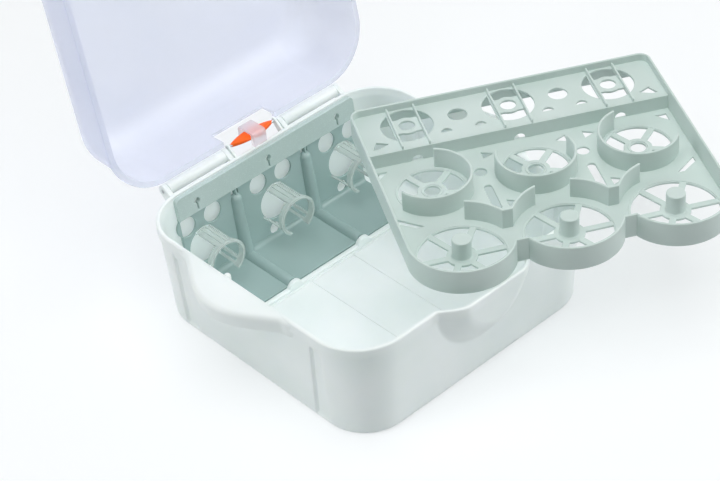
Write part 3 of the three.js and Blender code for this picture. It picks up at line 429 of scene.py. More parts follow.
def carved(form: Form, cutters: Sequence[Form]) -> Form:
    """Takes solids out of a form by exact boolean modifiers.

    Args:
        form: the form to carve.
        cutters: the solids that are taken out.

    Returns:
        The carved form.
    """
    target = new_object("carving", bare_mesh("carving", form))
    tools = [new_object("cutter", bare_mesh("cutter", cutter)) for cutter in cutters]
    for tool in tools:
        modifier = target.modifiers.new("cut", "BOOLEAN")
        modifier.operation, modifier.solver, modifier.object = "DIFFERENCE", "EXACT", tool
    depsgraph = bpy.context.evaluated_depsgraph_get()
    result = bpy.data.meshes.new_from_object(target.evaluated_get(depsgraph))
    points = np.empty(len(result.vertices) * 3)
    result.vertices.foreach_get("co", points)
    made = Form(points.reshape(-1, 3) / MM, [tuple(face.vertices) for face in result.polygons])
    for leftover in [target, *tools]:
        bpy.data.objects.remove(leftover)
    return made


# Finishes


def linear(colour: str) -> tuple[float, float, float, float]:
    """An sRGB hex colour as linear RGBA."""
    levels = [int(colour.lstrip("#")[i : i + 2], 16) / 255.0 for i in (0, 2, 4)]
    return (*(c / 12.92 if c <= 0.04045 else ((c + 0.055) / 1.055) ** 2.4 for c in levels), 1.0)


def cleared_tree(owner: bpy.types.Material | bpy.types.World) -> bpy.types.NodeTree:
    """The emptied node tree of a material or world.

    Args:
        owner: the material or world.

    Returns:
        Its node tree.
    """
    owner.use_nodes = True
    owner.node_tree.nodes.clear()
    return owner.node_tree


def add_node(tree: bpy.types.NodeTree, kind: str, feeds: dict[str | int, object] | None = None,
             **settings: object) -> bpy.types.Node:
    """Adds a node with its settings and inputs.

    Args:
        tree: the tree that it goes into.
        kind: the shader node's type name without the common prefix.
        feeds: for each input, by name or number, the output socket that is linked to it or
            the value that it is set to.
        **settings: attributes of the node.

    Returns:
        The new node.
    """
    node = tree.nodes.new("ShaderNode" + kind)
    for name, value in settings.items():
        setattr(node, name, value)
    for name, value in (feeds or {}).items():
        if isinstance(value, bpy.types.NodeSocket):
            tree.links.new(value, node.inputs[name])
        else:
            node.inputs[name].default_value = value
    return node


@dataclass(frozen=True)
class Moulded:
    """An injection-moulded plastic: an even body, faint flow clouding and a fine satin grain."""

    name: str
    colour: str
    cloud: str
    roughness: float = 0.38
    ior: float = 1.49
    grain_mm: float = 0.9
    grain_depth_mm: float = 0.02
    cloud_mm: float = 55.0
    scatter: float = 0.0
    scatter_mm: float = 3.0
    transmission: float = 0.0
    alpha: float = 1.0

    def material(self) -> bpy.types.Material:
        """Builds the node material.

        Returns:
            The material, with its clouding and grain as noise on Object coordinates.
        """
        made = bpy.data.materials.new(self.name)
        tree = cleared_tree(made)
        place = add_node(tree, "TexCoord").outputs["Object"]
        flow = add_node(tree, "TexNoise", {
            "Vector": place, "Scale": 1.0 / (self.cloud_mm * MM), "Detail": 2.0, "Roughness": 0.45})
        level = add_node(tree, "MapRange", {
            "Value": flow.outputs["Fac"], "From Min": 0.38, "From Max": 0.68})
        body = add_node(tree, "Mix", {
            "Factor": level.outputs["Result"], 6: linear(self.colour), 7: linear(self.cloud)},
            data_type="RGBA")
        grain = add_node(tree, "TexNoise", {
            "Vector": place, "Scale": 1.0 / (self.grain_mm * MM), "Detail": 3.0, "Roughness": 0.6})
        relief = add_node(tree, "Bump", {
            "Height": grain.outputs["Fac"], "Strength": 0.35, "Distance": self.grain_depth_mm * MM})
        sheen = add_node(tree, "MapRange", {
            "Value": grain.outputs["Fac"], "To Min": self.roughness - 0.05,
            "To Max": self.roughness + 0.06})
        shader = add_node(tree, "BsdfPrincipled", {
            "Base Color": body.outputs[2], "Normal": relief.outputs["Normal"],
            "Roughness": sheen.outputs["Result"], "IOR": self.ior,
            "Subsurface Weight": self.scatter, "Subsurface Scale": self.scatter_mm * MM,
            "Subsurface Radius": (1.0, 1.0, 0.9), "Transmission Weight": self.transmission,
            "Alpha": self.alpha}, subsurface_method="RANDOM_WALK")
        add_node(tree, "OutputMaterial", {"Surface": shader.outputs["BSDF"]})
        return made


@dataclass(frozen=True)
class DrawnSteel:
    """A plain steel pin, drawn to size: fine scratches run along it, with a dull metal shine."""

    name: str = "pin_steel_drawn"
    colour: str = "#b9bcc0"
    roughness: float = 0.32
    scratch_mm: float = 0.35

    def material(self) -> bpy.types.Material:
        """Builds the node material.

        Returns:
            The material, with noise stretched along X as the draw marks.
        """
        made = bpy.data.materials.new(self.name)
        tree = cleared_tree(made)
        place = add_node(tree, "TexCoord").outputs["Object"]
        drawn = add_node(tree, "Mapping", {"Vector": place, "Scale": (0.04, 1.0, 1.0)})
        marks = add_node(tree, "TexNoise", {
            "Vector": drawn.outputs["Vector"], "Scale": 1.0 / (self.scratch_mm * MM),
            "Detail": 2.0})
        shine = add_node(tree, "MapRange", {
            "Value": marks.outputs["Fac"], "To Min": self.roughness - 0.08,
            "To Max": self.roughness + 0.12})
        shader = add_node(tree, "BsdfPrincipled", {
            "Roughness": shine.outputs["Result"], "Metallic": 1.0,
            "Base Color": linear(self.colour)})
        add_node(tree, "OutputMaterial", {"Surface": shader.outputs["BSDF"]})
        return made


# White moulded polypropylene: soft satin shine, light scatters a little way into it
WHITE = Moulded("white_polypropylene_moulded", "#f0f7f6", "#eaf3f1", roughness=0.34, scatter=0.4,
                scatter_mm=5.0)
# Grey-green moulded polypropylene of the rack: fine satin, cooler than the tray
RACK_GREY = Moulded("rack_polypropylene_moulded", "#9eb5b3", "#98b0ad", roughness=0.24,
                    scatter=0.08)
# The rack's top band: the same grey-green polypropylene in a paler lit copy, painted light for the
# light that falls on the proud band from above and in front
RACK_BAND_PAINTED_LIGHT = Moulded("rack_polypropylene_band_painted_light", "#bccdca", "#b6c9c5", roughness=0.26,
                    scatter=0.12)
# Paler grey-green polypropylene of the tray, a little translucent at its thin walls
TRAY_GREY = Moulded("tray_polypropylene_moulded", "#c5d3cf", "#bfcfca", roughness=0.42,
                    scatter=0.12)
# Natural polypropylene with a grey tint: the collars pass some light
COLLAR_CLEAR = Moulded("collar_polypropylene_tinted", "#dbe6e3", "#d3e0dc", roughness=0.24,
                       scatter=0.2, transmission=0.35, alpha=0.72)
# Frosted clear polypropylene of the lid: milky, with a cool lavender cast
FROSTED = Moulded("lid_polypropylene_frosted", "#e0e5f8", "#dae0f5", roughness=0.42,
                  transmission=0.55, alpha=0.5)
# Frosted clear polypropylene of the keeper, thinner and clearer than the lid
KEEPER_CLEAR = Moulded("keeper_polypropylene_frosted", "#f2eef4", "#ece6ee", roughness=0.3,
                       transmission=0.6, alpha=0.7)
# Moulded ABS in strong orange, with an even satin face
ORANGE = Moulded("latch_abs_orange", "#ff6c08", "#fb6406", roughness=0.4, ior=1.4)
# Bright drawn steel of the pins
STEEL = DrawnSteel()


@dataclass
class Workshop:
    """Makes the finished pieces and keeps one material for each finish."""

    materials: dict[str, bpy.types.Material] = field(default_factory=dict)

    def finish(self, finish: Moulded | DrawnSteel) -> bpy.types.Material:
        """The material of a finish, built once.

        Args:
            finish: the finish.

        Returns:
            Its material.
        """
        if finish.name not in self.materials:
            self.materials[finish.name] = finish.material()
        return self.materials[finish.name]

    def add(self, name: str, form: Form, finish: Moulded | DrawnSteel, slot: str, body: str,
            *nodes: str, sharp_deg: float = 38.0) -> bpy.types.Object:
        """Makes a piece.

        Args:
            name: the piece's name.
            form: its mesh in millimetres.
            finish: its finish.
            slot: the record's material slot; not used.
            body: the body that it rides on.
            *nodes: the CAD nodes that it stands for.
            sharp_deg: edges that turn more than this stay sharp.

        Returns:
            The new object.
        """
        mesh = bare_mesh(name, form)
        mesh.shade_smooth()
        mesh.set_sharp_from_angle(angle=math.radians(sharp_deg))
        mesh.materials.append(self.finish(finish))
        piece = new_object(name, mesh)
        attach(piece, body)
        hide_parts(*nodes)
        LOG.info("%s: %d faces on %s for %s", name, len(mesh.polygons), body, ", ".join(nodes))
        return piece


# Sub-assemblies


@dataclass
class Tub:
    """The white tub with its rolled rim, grip bulge, side handles, floor rail and rear ears."""

    shop: Workshop
    half_x: float = 121.5
    half_y: float = 119.5
    height: float = 86.0
    wall: float = 2.4
    floor: float = 2.6
    draft: float = 5.0
    corner: float = 38.0
    lip: float = 0.9
    lip_depth: float = 9.0
    lip_round: float = 0.9
    foot_round: float = 4.0
    floor_fillet: float = 7.0
    rim_round: float = 1.5
    rim_inner_round: float = 1.05
    ledge: float = 0.9
    ledge_drop: float = 3.4
    bulge_half_x: float = 47.0
    bulge_drop: float = 52.0
    bulge_depth: float = 12.5
    bulge_rise_share: float = 0.45
    bulge_softness: float = 0.35
    channel_width: float = 11.0
    channel_spread: float = 6.0
    channel_depth: float = 2.2
    channel_top_inset: float = 13.0
    channel_top_run: float = 2.0
    channel_foot: float = 5.0
    channel_foot_run: float = 3.0
    channel_edge_share: float = 0.16
    handle_half_length: float = 55.0
    handle_ends: float = 1.32  # the outline's reach into the rim, in half lengths
    handle_reach: float = 27.0
    handle_root: float = 123.3
    handle_middle_y: float = 7.0
    handle_plate: float = 2.6
    handle_skirt: float = 16.0
    handle_round: float = 4.5
    # Rounded foot of the skirt and its root under the plate: offset from the outline, height
    skirt_foot: tuple[Pair, ...] = ((-2.4, 0.7), (-2.8, 0.1), (-3.4, 0.0), (-4.2, 0.2), (-4.6, 0.9))
    skirt_root: tuple[Pair, ...] = ((-3.2, -1.2), (-4.3, 0.0))
    flare: float = 3.4
    flare_run: float = 8.0
    flare_start: float = 0.6
    flare_rise: float = 0.3
    rooted: float = 1.0  # level inside the floor from which what stands on it rises
    rail_width: float = 4.0
    rail_height: float = 2.2
    rail_bump: float = 7.2
    rail_bump_run: float = 8.0
    rib_x: float = 22.0
    rib_front: float = 16.0
    rib_back: float = 46.0
    rib_width: float = 1.8
    rib_height: float = 0.45
    cross_rib_half: float = 96.0
    stop_radius: float = 2.6
    stop_round: float = 2.0
    stop_drop: float = 1.4
    stop_depth: float = 6.0
    stop_inset: float = 1.2
    stop_y: float = 19.0
    ear_sink: float = 0.5

    def inset(self, z: np.ndarray | float) -> np.ndarray | float:
        """How far the wall stands in from the rim at a height: draft times (1 - z / height)."""
        return self.draft * (1.0 - z / self.height)

    def plan(self) -> tuple[np.ndarray, np.ndarray]:
        """The outline, with close steps where the bulge and the channels are.

        Returns:
            Points of the core rectangle and the outward normal at each.
        """
        core_x, core_y = self.half_x - self.corner, self.half_y - self.corner
        bulge, channel = self.bulge_half_x, core_y - self.channel_width - self.channel_spread
        front = stations((-core_x, -bulge, bulge, core_x), (5, 96, 5))
        side = stations((-core_y, -channel, channel, core_y), (40, 12, 40))
        back = np.linspace(core_x, -core_x, 12)
        return rounded_plan([
            np.column_stack([front, np.full_like(front, -core_y)]),
            np.column_stack([np.full_like(side, core_x), side]),
            np.column_stack([back, np.full_like(back, core_y)]),
            np.column_stack([np.full_like(side, -core_x), -side]),
        ], 24)

    def relief(self, core: np.ndarray, normal: np.ndarray, z: float) -> np.ndarray:
        """How far the wall stands out of its plain outline at a height.

        The grip bulge is depth times a mix of smoothstep(t) and t (2 - t), with t rising from
        the edge of a half ellipse that hangs from the rim. The channels beside the corners go
        in by their depth, with smooth sides and ends.

        Args:
            core: points of the core rectangle.
            normal: outward normal at each.
            z: the height.

        Returns:
            The offset at each point.
        """
        reach = np.hypot(core[:, 0] / self.bulge_half_x, (self.height - z) / self.bulge_drop)
        t = np.clip((1.0 - reach) / self.bulge_rise_share, 0.0, 1.0)
        soft = self.bulge_softness
        front = (normal[:, 1] < -FLAT) & (core[:, 1] < 0.0)
        bulge = self.bulge_depth * (soft * smooth(t) + (1.0 - soft) * t * (2.0 - t)) * front
        top, foot_run = self.height - self.channel_top_inset, self.channel_foot_run
        width = self.channel_width + self.channel_spread * (1.0 - z / top)
        across = (np.abs(core[:, 1]) - (self.half_y - self.corner - width)) / width
        ends = smooth((top - z) / self.channel_top_run)
        ends = ends * smooth((z - self.channel_foot + foot_run) / foot_run)
        edge = self.channel_edge_share
        flanks = smooth(across / edge) * smooth((1.0 - across) / edge)
        return bulge - self.channel_depth * flanks * (np.abs(normal[:, 0]) > FLAT) * ends

    def profile(self) -> np.ndarray:
        """The wall's section, from the foot up the outside, over the rim and down to the floor.

        Returns:
            Rows of (offset from the rim's inner edge, height, share of the wall's relief).
        """
        wall_foot = self.wall - float(self.inset(self.foot_round))
        foot = arc((wall_foot - self.foot_round, self.foot_round), self.foot_round, -90.0, 0.0, 8)
        lip_foot = self.height - self.lip_depth
        climb = np.linspace(self.foot_round, lip_foot, 44)[1:]
        outer = np.column_stack([self.wall - self.inset(climb), climb])
        out, low = self.wall + self.lip, self.lip_round
        rim, inner_rim = self.rim_round, self.rim_inner_round
        lip = np.concatenate([
            arc((out - low, lip_foot + low), low, -90.0, 0.0, 5),
            arc((out - rim, self.height - rim), rim, 0.0, 90.0, 7),
            arc((inner_rim, self.height - inner_rim), inner_rim, 90.0, 180.0, 5),
        ])
        fillet_top = self.floor + self.floor_fillet
        down = np.linspace(self.height - rim, fillet_top, 40)[1:]
        step = self.ledge * smooth((self.height - self.ledge_drop - down) / self.ledge)
        inner = np.column_stack([-self.inset(down) - step, down])
        middle = (inner[-1, 0] - self.floor_fillet, fillet_top)
        fillet = arc(middle, self.floor_fillet, 0.0, -90.0, 8)[1:]
        rows = np.concatenate([foot, outer, lip, inner, fillet])
        share = np.ones(len(rows))
        share[: len(foot)] = np.linspace(0.0, 1.0, len(foot))
        share[-len(fillet) :] = np.linspace(1.0, 0.0, len(fillet))
        return np.column_stack([rows, share])

    def shell(self) -> Form:
        """The tub's wall and floor: core + normal (corner + offset + relief), row by row.

        Returns:
            The closed form.
        """
        core, normal = self.plan()
        rows = []
        for out, z, share in self.profile():
            reach = self.corner + out + share * self.relief(core, normal, float(z))
            flat = core + normal * np.asarray(reach)[:, None]
            rows.append(np.column_stack([flat, np.full(len(flat), z)]))
        return loft(np.stack(rows))

    def handle(self, side: int) -> Form:
        """A side handle: a bell-shaped tab with a rounded edge and a turned-down skirt.

        Its outline is reach cos(pi t / 2), with t from -1 to 1 along it. A soft maximum with
        flare exp(-((|t| - 1) length / run)^2) carries both ends into the rim.

        Args:
            side: 1 for the right handle, -1 for the left one.

        Returns:
            The closed form.
        """
        root, top, edge = self.handle_root - SINK, self.height, self.handle_round
        share = np.linspace(-self.handle_ends, self.handle_ends, 121)
        bell = self.handle_reach * np.cos(np.clip(share, -1.0, 1.0) * np.pi / 2.0)
        past = (np.abs(share) - 1.0) * self.handle_half_length / self.flare_run
        rising = smooth((np.abs(share) - self.flare_start) / self.flare_rise)
        flare = self.flare * np.exp(-np.maximum(past, 0.0) ** 2) * rising
        across = np.minimum(np.hypot(bell, flare), self.handle_reach)
        along = self.handle_middle_y + share * self.handle_half_length
        path = np.column_stack([self.handle_root + across, along])
        tangent = np.gradient(path, axis=0)
        tangent /= np.linalg.norm(tangent, axis=1, keepdims=True)
        normal = np.column_stack([tangent[:, 1], -tangent[:, 0]])
        rows = np.concatenate([
            arc((-edge, top - edge), edge, 90.0, 0.0, 9),
            np.array(self.skirt_foot) + [0.0, top - self.handle_skirt],
            np.array(self.skirt_root) + [0.0, top - self.handle_plate],
        ])
        outline = path[None] + normal[None] * rows[:, None, :1]
        outline[..., 0] = np.maximum(outline[..., 0], root)
        at_rim = np.column_stack([np.full(len(path), root), along])[None]
        height = np.concatenate([[top], rows[:, 1], [top - self.handle_plate]])
        grid = lifted(np.concatenate([at_rim, outline, at_rim]), height[:, None])
        return loft(grid.transpose(1, 0, 2)).flipped(side)

    def floor_rail(self, rack: "Rack") -> Form:
        """The rail in front of the rack: a bar whose top follows two half-rounds.

        Args:
            rack: the rack behind it.

        Returns:
            The closed form.
        """
        near, far = rack.pitch / 2.0 - self.rail_bump_run, rack.pitch / 2.0 + self.rail_bump_run
        x = stations((-rack.half_x, -far, -near, near, far, rack.half_x), (12, 40, 12, 40, 12))
        drop = self.rail_bump ** 2 - (np.abs(x) - rack.pitch / 2.0) ** 2
        top = self.floor + np.maximum(np.sqrt(np.maximum(drop, 0.0)), self.rail_height)
        outline = np.concatenate([np.column_stack([x, top])[::-1],
                                  [[x[0], self.rooted], [x[-1], self.rooted]]])
        back = rack.strip_front - 3.0 * CLEARANCE
        return prism(outline, back - self.rail_width, back, edge=0.4, axis=Axis.ALONG_Y)

    def floor_ribs(self) -> Form:
        """Two low ribs along the floor, and one across it in front of the rail.

        Returns:
            The three ribs.
        """
        front, back, cross = self.rib_front - self.half_y, self.rib_back, self.rib_back + SINK
        section = wall_section(self.rib_width, self.rooted, self.floor + self.rib_height, 0.4)
        runs = [[[x, front], [x, back]] for x in (-self.rib_x, self.rib_x)]
        runs.append([[-self.cross_rib_half, cross], [self.cross_rib_half, cross]])
        return joined([ribbon(np.array(run), section) for run in runs])

    def rack_stop(self) -> Form:
        """A small rounded stop on the left rim's inner edge.

        Returns:
            The closed form.
        """
        low, shoulder = self.height - self.stop_depth, self.height - self.stop_drop
        cap = arc((self.stop_radius - self.stop_round, shoulder), self.stop_round, 0.0, 90.0, 6)
        profile = np.concatenate([[[POLE, low], [self.stop_radius, low]], cap])
        return turned(profile, self.stop_inset - self.half_x, self.stop_y, 24)

    def ears(self, hinge: "Hinge", latch: "RearLatch") -> Form:
        """The ears behind the rear rim that hold the hinge pins and the latch's pin.

        Args:
            hinge: the hinge.
            latch: the rear latch.

        Returns:
            All six ears.
        """
        root, top = self.half_y + self.wall - self.ear_sink, self.height - self.ear_sink
        hinge_side = np.concatenate([arc((hinge.y, hinge.z), hinge.barrel, -60.0, 90.0, 20),
                                     [[root, hinge.z], [root, hinge.z - hinge.ear_drop]]])
        latch_side = np.concatenate([arc((latch.y, latch.z), latch.ear_radius, -60.0, 120.0, 16),
                                     [[root, top], [root, self.height - latch.ear_drop]]])
        places = [(hinge_side, hinge.inner_x - hinge.ear, hinge.ear),
                  (hinge_side, hinge.outer_x, hinge.ear),
                  (latch_side, latch.half_width + CLEARANCE, latch.ear)]
        made = [prism(outline, x, x + width, edge=0.4, axis=Axis.ALONG_X)
                for outline, x, width in places]
        return joined([*made, *(ear.flipped() for ear in made)])

    def build(self, rack: "Rack", hinge: "Hinge", latch: "RearLatch") -> None:
        """Makes the tub's pieces.

        Args:
            rack: the rack, whose feet stand behind the floor rail.
            hinge: the hinge that the ears hold.
            latch: the rear latch that the ears hold.
        """
        pieces = [("tub_shell", self.shell()), ("tub_handle_left", self.handle(-1)),
                  ("tub_handle_right", self.handle(1)), ("tub_floor_rail", self.floor_rail(rack)),
                  ("tub_floor_ribs", self.floor_ribs()), ("tub_rack_stop", self.rack_stop()),
                  ("tub_rear_ears", self.ears(hinge, latch))]
        for name, form in pieces:
            self.shop.add(name, form, WHITE, "white_plastic", "root", "base_tub")


@dataclass
class Rack:
    """The grey bottle rack: a leaning panel with holes, posts and ridges, and a floor strip."""

    shop: Workshop
    half_x: float = 91.0
    pitch: float = 72.0
    strip_front: float = 53.5
    foot_y: float = 107.0
    top_y: float = 116.0
    low_z: float = 2.9
    strip_sheet: float = 2.6
    top_z: float = 85.5
    sheet: float = 2.0
    band_height: float = 19.0
    band_proud: float = 2.0
    band_corner: float = 4.0
    overlap: float = 1.0  # reach of the sheet into the band, and of the ridges into the panel
    bend_radius: float = 3.5
    bend_sink: float = 0.4
    bend_inset: float = 0.5
    post_radius: float = 6.2
    post_top_radius: float = 4.9
    post_sunk_share: float = 0.6
    ridge_radius: float = 5.2
    post_top_z: float = 62.0
    hole_radius: float = 8.5
    hole_offset: float = 12.8
    hole_z: float = 57.6
    bore_z: float = 34.6
    bore_radius: float = 14.6
    low_hole: Triple = (-5.0, 12.2, 5.0)  # beside the bay's middle, height, radius
    keyhole: tuple[float, float, float, float] = (76.0, 2.6, 8.0, 1.6)  # height, radius, stem
    slot_half_width: float = 3.4
    slot_height: float = 4.2
    slot_drop: float = 1.0
    web: float = 1.3
    web_front: float = 2.4
    web_drop: float = 2.2

    def __post_init__(self) -> None:
        """Works out the places that follow from the sizes."""
        self.strip_top = self.low_z + self.strip_sheet
        self.bays = (-self.pitch, 0.0, self.pitch)
        self.posts = (-self.pitch / 2.0, self.pitch / 2.0)

    def panel_y(self, z: np.ndarray | float) -> np.ndarray | float:
        """Front face of the leaning panel at a height."""
        lean = (self.top_y - self.foot_y) / (self.top_z - self.strip_top)
        return self.foot_y + lean * (z - self.strip_top)

    def leaned(self, points: np.ndarray) -> np.ndarray:
        """Shears points so that y, counted from the panel's front face, leans back with it."""
        x, y, z = points.T
        return np.column_stack([x, y + self.panel_y(z), z])

    def holes(self) -> list[np.ndarray]:
        """Outlines of the panel's holes in its own plane, as x and height.

        Returns:
            Two round holes, the collar's bore and a low hole for each bay.
        """
        made = []
        low_x, low_z, low_radius = self.low_hole
        for x in self.bays:
            made += [circle(x + side * self.hole_offset, self.hole_z, self.hole_radius)
                     for side in (-1, 1)]
            made.append(circle(x, self.bore_z, self.bore_radius, 72))
            made.append(circle(x + low_x, low_z, low_radius, 32))
        return made

    def keyholes(self) -> list[np.ndarray]:
        """Outlines of the band's keyholes: a round with a narrow stem under it.

        Returns:
            One outline for each bay.
        """
        z, radius, stem, width = self.keyhole
        lean = math.degrees(math.asin(width / 2.0 / radius))
        outline = np.concatenate([arc((0.0, z), radius, lean - 90.0, 270.0 - lean, 28),
                                  [[-width / 2.0, z - stem], [width / 2.0, z - stem]]])
        return [outline + np.array([x, 0.0]) for x in self.bays]

    def slots(self) -> list[np.ndarray]:
        """Outlines of the slots over the post caps, two to a post with a thin web between.

        Returns:
            The outlines.
        """
        level = (self.post_top_z - self.slot_drop, self.post_top_z + self.slot_height)
        return [rectangle((x + side * self.web / 2.0, x + side * self.slot_half_width), level)
                for x in self.posts for side in (-1, 1)]

    def panel(self) -> tuple[Form, Form]:
        """The leaning panel.

        Returns:
            The sheet with its holes, and the thicker band along its top.
        """
        half, corner, foot = self.half_x, self.band_corner, self.top_z - self.band_height
        sheet_outline = rectangle((-half, half), (self.low_z, foot + self.overlap))
        band_outline = np.concatenate([
            [[-half, foot], [half, foot]],
            arc((half - corner, self.top_z - corner), corner, 0.0, 90.0, 8),
            arc((corner - half, self.top_z - corner), corner, 90.0, 180.0, 8),
        ])
        openings = [*self.holes(), *self.slots()]
        sheet = prism(sheet_outline, 0.0, self.sheet, openings, 0.35, Axis.ALONG_Y)
        band = prism(band_outline, -self.band_proud, self.sheet, self.keyholes(), 0.45,
                     Axis.ALONG_Y)
        return sheet.placed(self.leaned), band.placed(self.leaned)

    def post(self, x: float) -> Form:
        """A tapered post with a round cap, half sunk into the panel.

        Args:
            x: its middle.

        Returns:
            The closed form, before it leans.
        """
        radius, back = self.post_top_radius, self.sheet * self.post_sunk_share
        profile = np.concatenate([[[POLE, self.low_z], [self.post_radius, self.low_z]],
                                  arc((0.0, self.post_top_z - radius), radius, 0.0, 88.0, 10)])
        return turned(profile, x, 0.0).placed(
            lambda p: np.column_stack([p[:, 0], np.minimum(p[:, 1], back), p[:, 2]]))

    def post_web(self, x: float) -> Form:
        """The thin upright web between a post's cap and the band."""
        level = (self.post_top_z - self.web_drop, self.top_z - self.band_height + SINK)
        return slab((x - self.web / 2.0, x + self.web / 2.0), (-self.web_front, SINK), level, 0.25)

    def ridge(self, x: float) -> Form:
        """A half-round ridge along the floor strip, with a rounded front rim."""
        outline = arc((x, self.strip_top - SINK), self.ridge_radius, 0.0, 180.0, 28)
        return prism(outline, self.strip_front, self.foot_y + self.overlap, edge=0.6,
                     axis=Axis.ALONG_Y)

    def floor_strip(self) -> Form:
        """The strip that lies on the floor, and the rounded bend up into the panel.

        Returns:
            Strip and bend.
        """
        strip = slab((-self.half_x, self.half_x), (self.strip_front, self.foot_y + self.sheet),
                     (self.low_z, self.strip_top), 0.5)
        radius, sink, reach = self.bend_radius, self.bend_sink, self.half_x - self.bend_inset
        outline = np.concatenate([arc((-radius, radius), radius, -90.0, 0.0, 8),
                                  [[sink, radius], [sink, -sink], [-radius, -sink]]])
        outline += np.array([self.foot_y, self.strip_top])
        return joined([strip, prism(outline, -reach, reach, edge=0.1, axis=Axis.ALONG_X)])

    def build(self) -> None:
        """Makes the rack's pieces."""
        sheet, band = self.panel()
        posts = joined([*map(self.post, self.posts), *map(self.post_web, self.posts)])
        ridges = joined([self.ridge(x) for x in self.posts])
        # the top band takes the paler copy of the rack grey, painted light for the light falling on
        # it
        pieces = [("rack_panel", sheet, RACK_GREY), ("rack_top_band", band, RACK_BAND_PAINTED_LIGHT),
                  ("rack_floor_strip", self.floor_strip(), RACK_GREY),
                  ("rack_posts", posts.placed(self.leaned), RACK_GREY),
                  ("rack_ridges", ridges, RACK_GREY)]
        for name, form, finish in pieces:
            self.shop.add(name, form, finish, "grey_plastic", "root", "bottle_rack")


@dataclass
class Collar:
    """A neck collar: a C-ring carried by a grooved top rail and thin foot rails."""

    shop: Workshop
    rack: Rack
    number: int
    radius: float = 16.2
    wall: float = 1.6
    length: float = 28.0
    back_gap: float = 0.4
    ring_length: float = 6.0
    rim_proud: float = 0.9
    rim_stretch: Pair = (0.6, 2.4)
    gap_deg: float = 64.0
    top_rail_deg: float = 50.0
    rail_start: float = 1.0
    foot_rails: tuple[float, ...] = (40.0, 58.0)
    foot_rail_deg: float = 9.0
    ribs_deg: tuple[float, ...] = (-21.0, -7.0, 7.0, 21.0)
    rib_deg: float = 5.2
    flange: float = 1.4
    flange_proud: float = 0.5
    flange_foot_deg: float = 49.0
    flange_half_deg: float = 15.0
    flange_top_extra_deg: float = 2.0

    def run(self, middle: float, half: float, low: float, high: float, proud: float = 0.0,
            steps: int = 12) -> Form:
        """A bar of the ring's own section, bent round the collar's axis.

        Args:
            middle: angle of its middle, in degrees.
            half: half of the angle that it covers.
            low: place of its front end.
            high: place of its back end.
            proud: how far it stands out of the ring.
            steps: steps of the bend.

        Returns:
            The closed form.
        """
        centre = ((self.number - 2) * self.rack.pitch, self.rack.bore_z)
        outline = np.concatenate([
            arc(centre, self.radius + proud, middle - half, middle + half, steps),
            arc(centre, self.radius - self.wall, middle + half, middle - half, steps)])
        return prism(outline, low, high, edge=0.4, axis=Axis.ALONG_Y)

    def build(self) -> None:
        """Makes one collar: ring, rim, rails with their ribs, and a flange against the panel."""
        back = float(self.rack.panel_y(self.rack.bore_z))
        front, back = back - self.length, back - self.back_gap
        rails = front + self.rail_start
        half_ring, half_top = 180.0 - self.gap_deg / 2.0, self.top_rail_deg / 2.0
        rim = [front + place for place in self.rim_stretch]
        parts = [self.run(90.0, half_ring, front, front + self.ring_length, steps=64),
                 self.run(90.0, half_ring, *rim, self.rim_proud, 64),
                 self.run(90.0, half_top, rails, back)]
        parts += [self.run(90.0 + turn, self.rib_deg / 2.0, rails, back, self.rim_proud, 3)
                  for turn in self.ribs_deg]
        parts += [self.run(-90.0 + side * spread, self.foot_rail_deg / 2.0, rails, back, steps=4)
                  for spread in self.foot_rails for side in (-1, 1)]
        for middle, half in ((90.0, half_top + self.flange_top_extra_deg),
                             (-90.0 - self.flange_foot_deg, self.flange_half_deg),
                             (-90.0 + self.flange_foot_deg, self.flange_half_deg)):
            flange = self.run(middle, half, 0.0, self.flange, self.flange_proud)
            parts.append(flange.placed(lambda p: np.column_stack(
                [p[:, 0], self.rack.panel_y(p[:, 2]) - CLEARANCE - p[:, 1], p[:, 2]])))
        self.shop.add(f"collar_{self.number}", joined(parts), COLLAR_CLEAR, "collar_plastic",
                      "root", f"neck_collar_{self.number}")


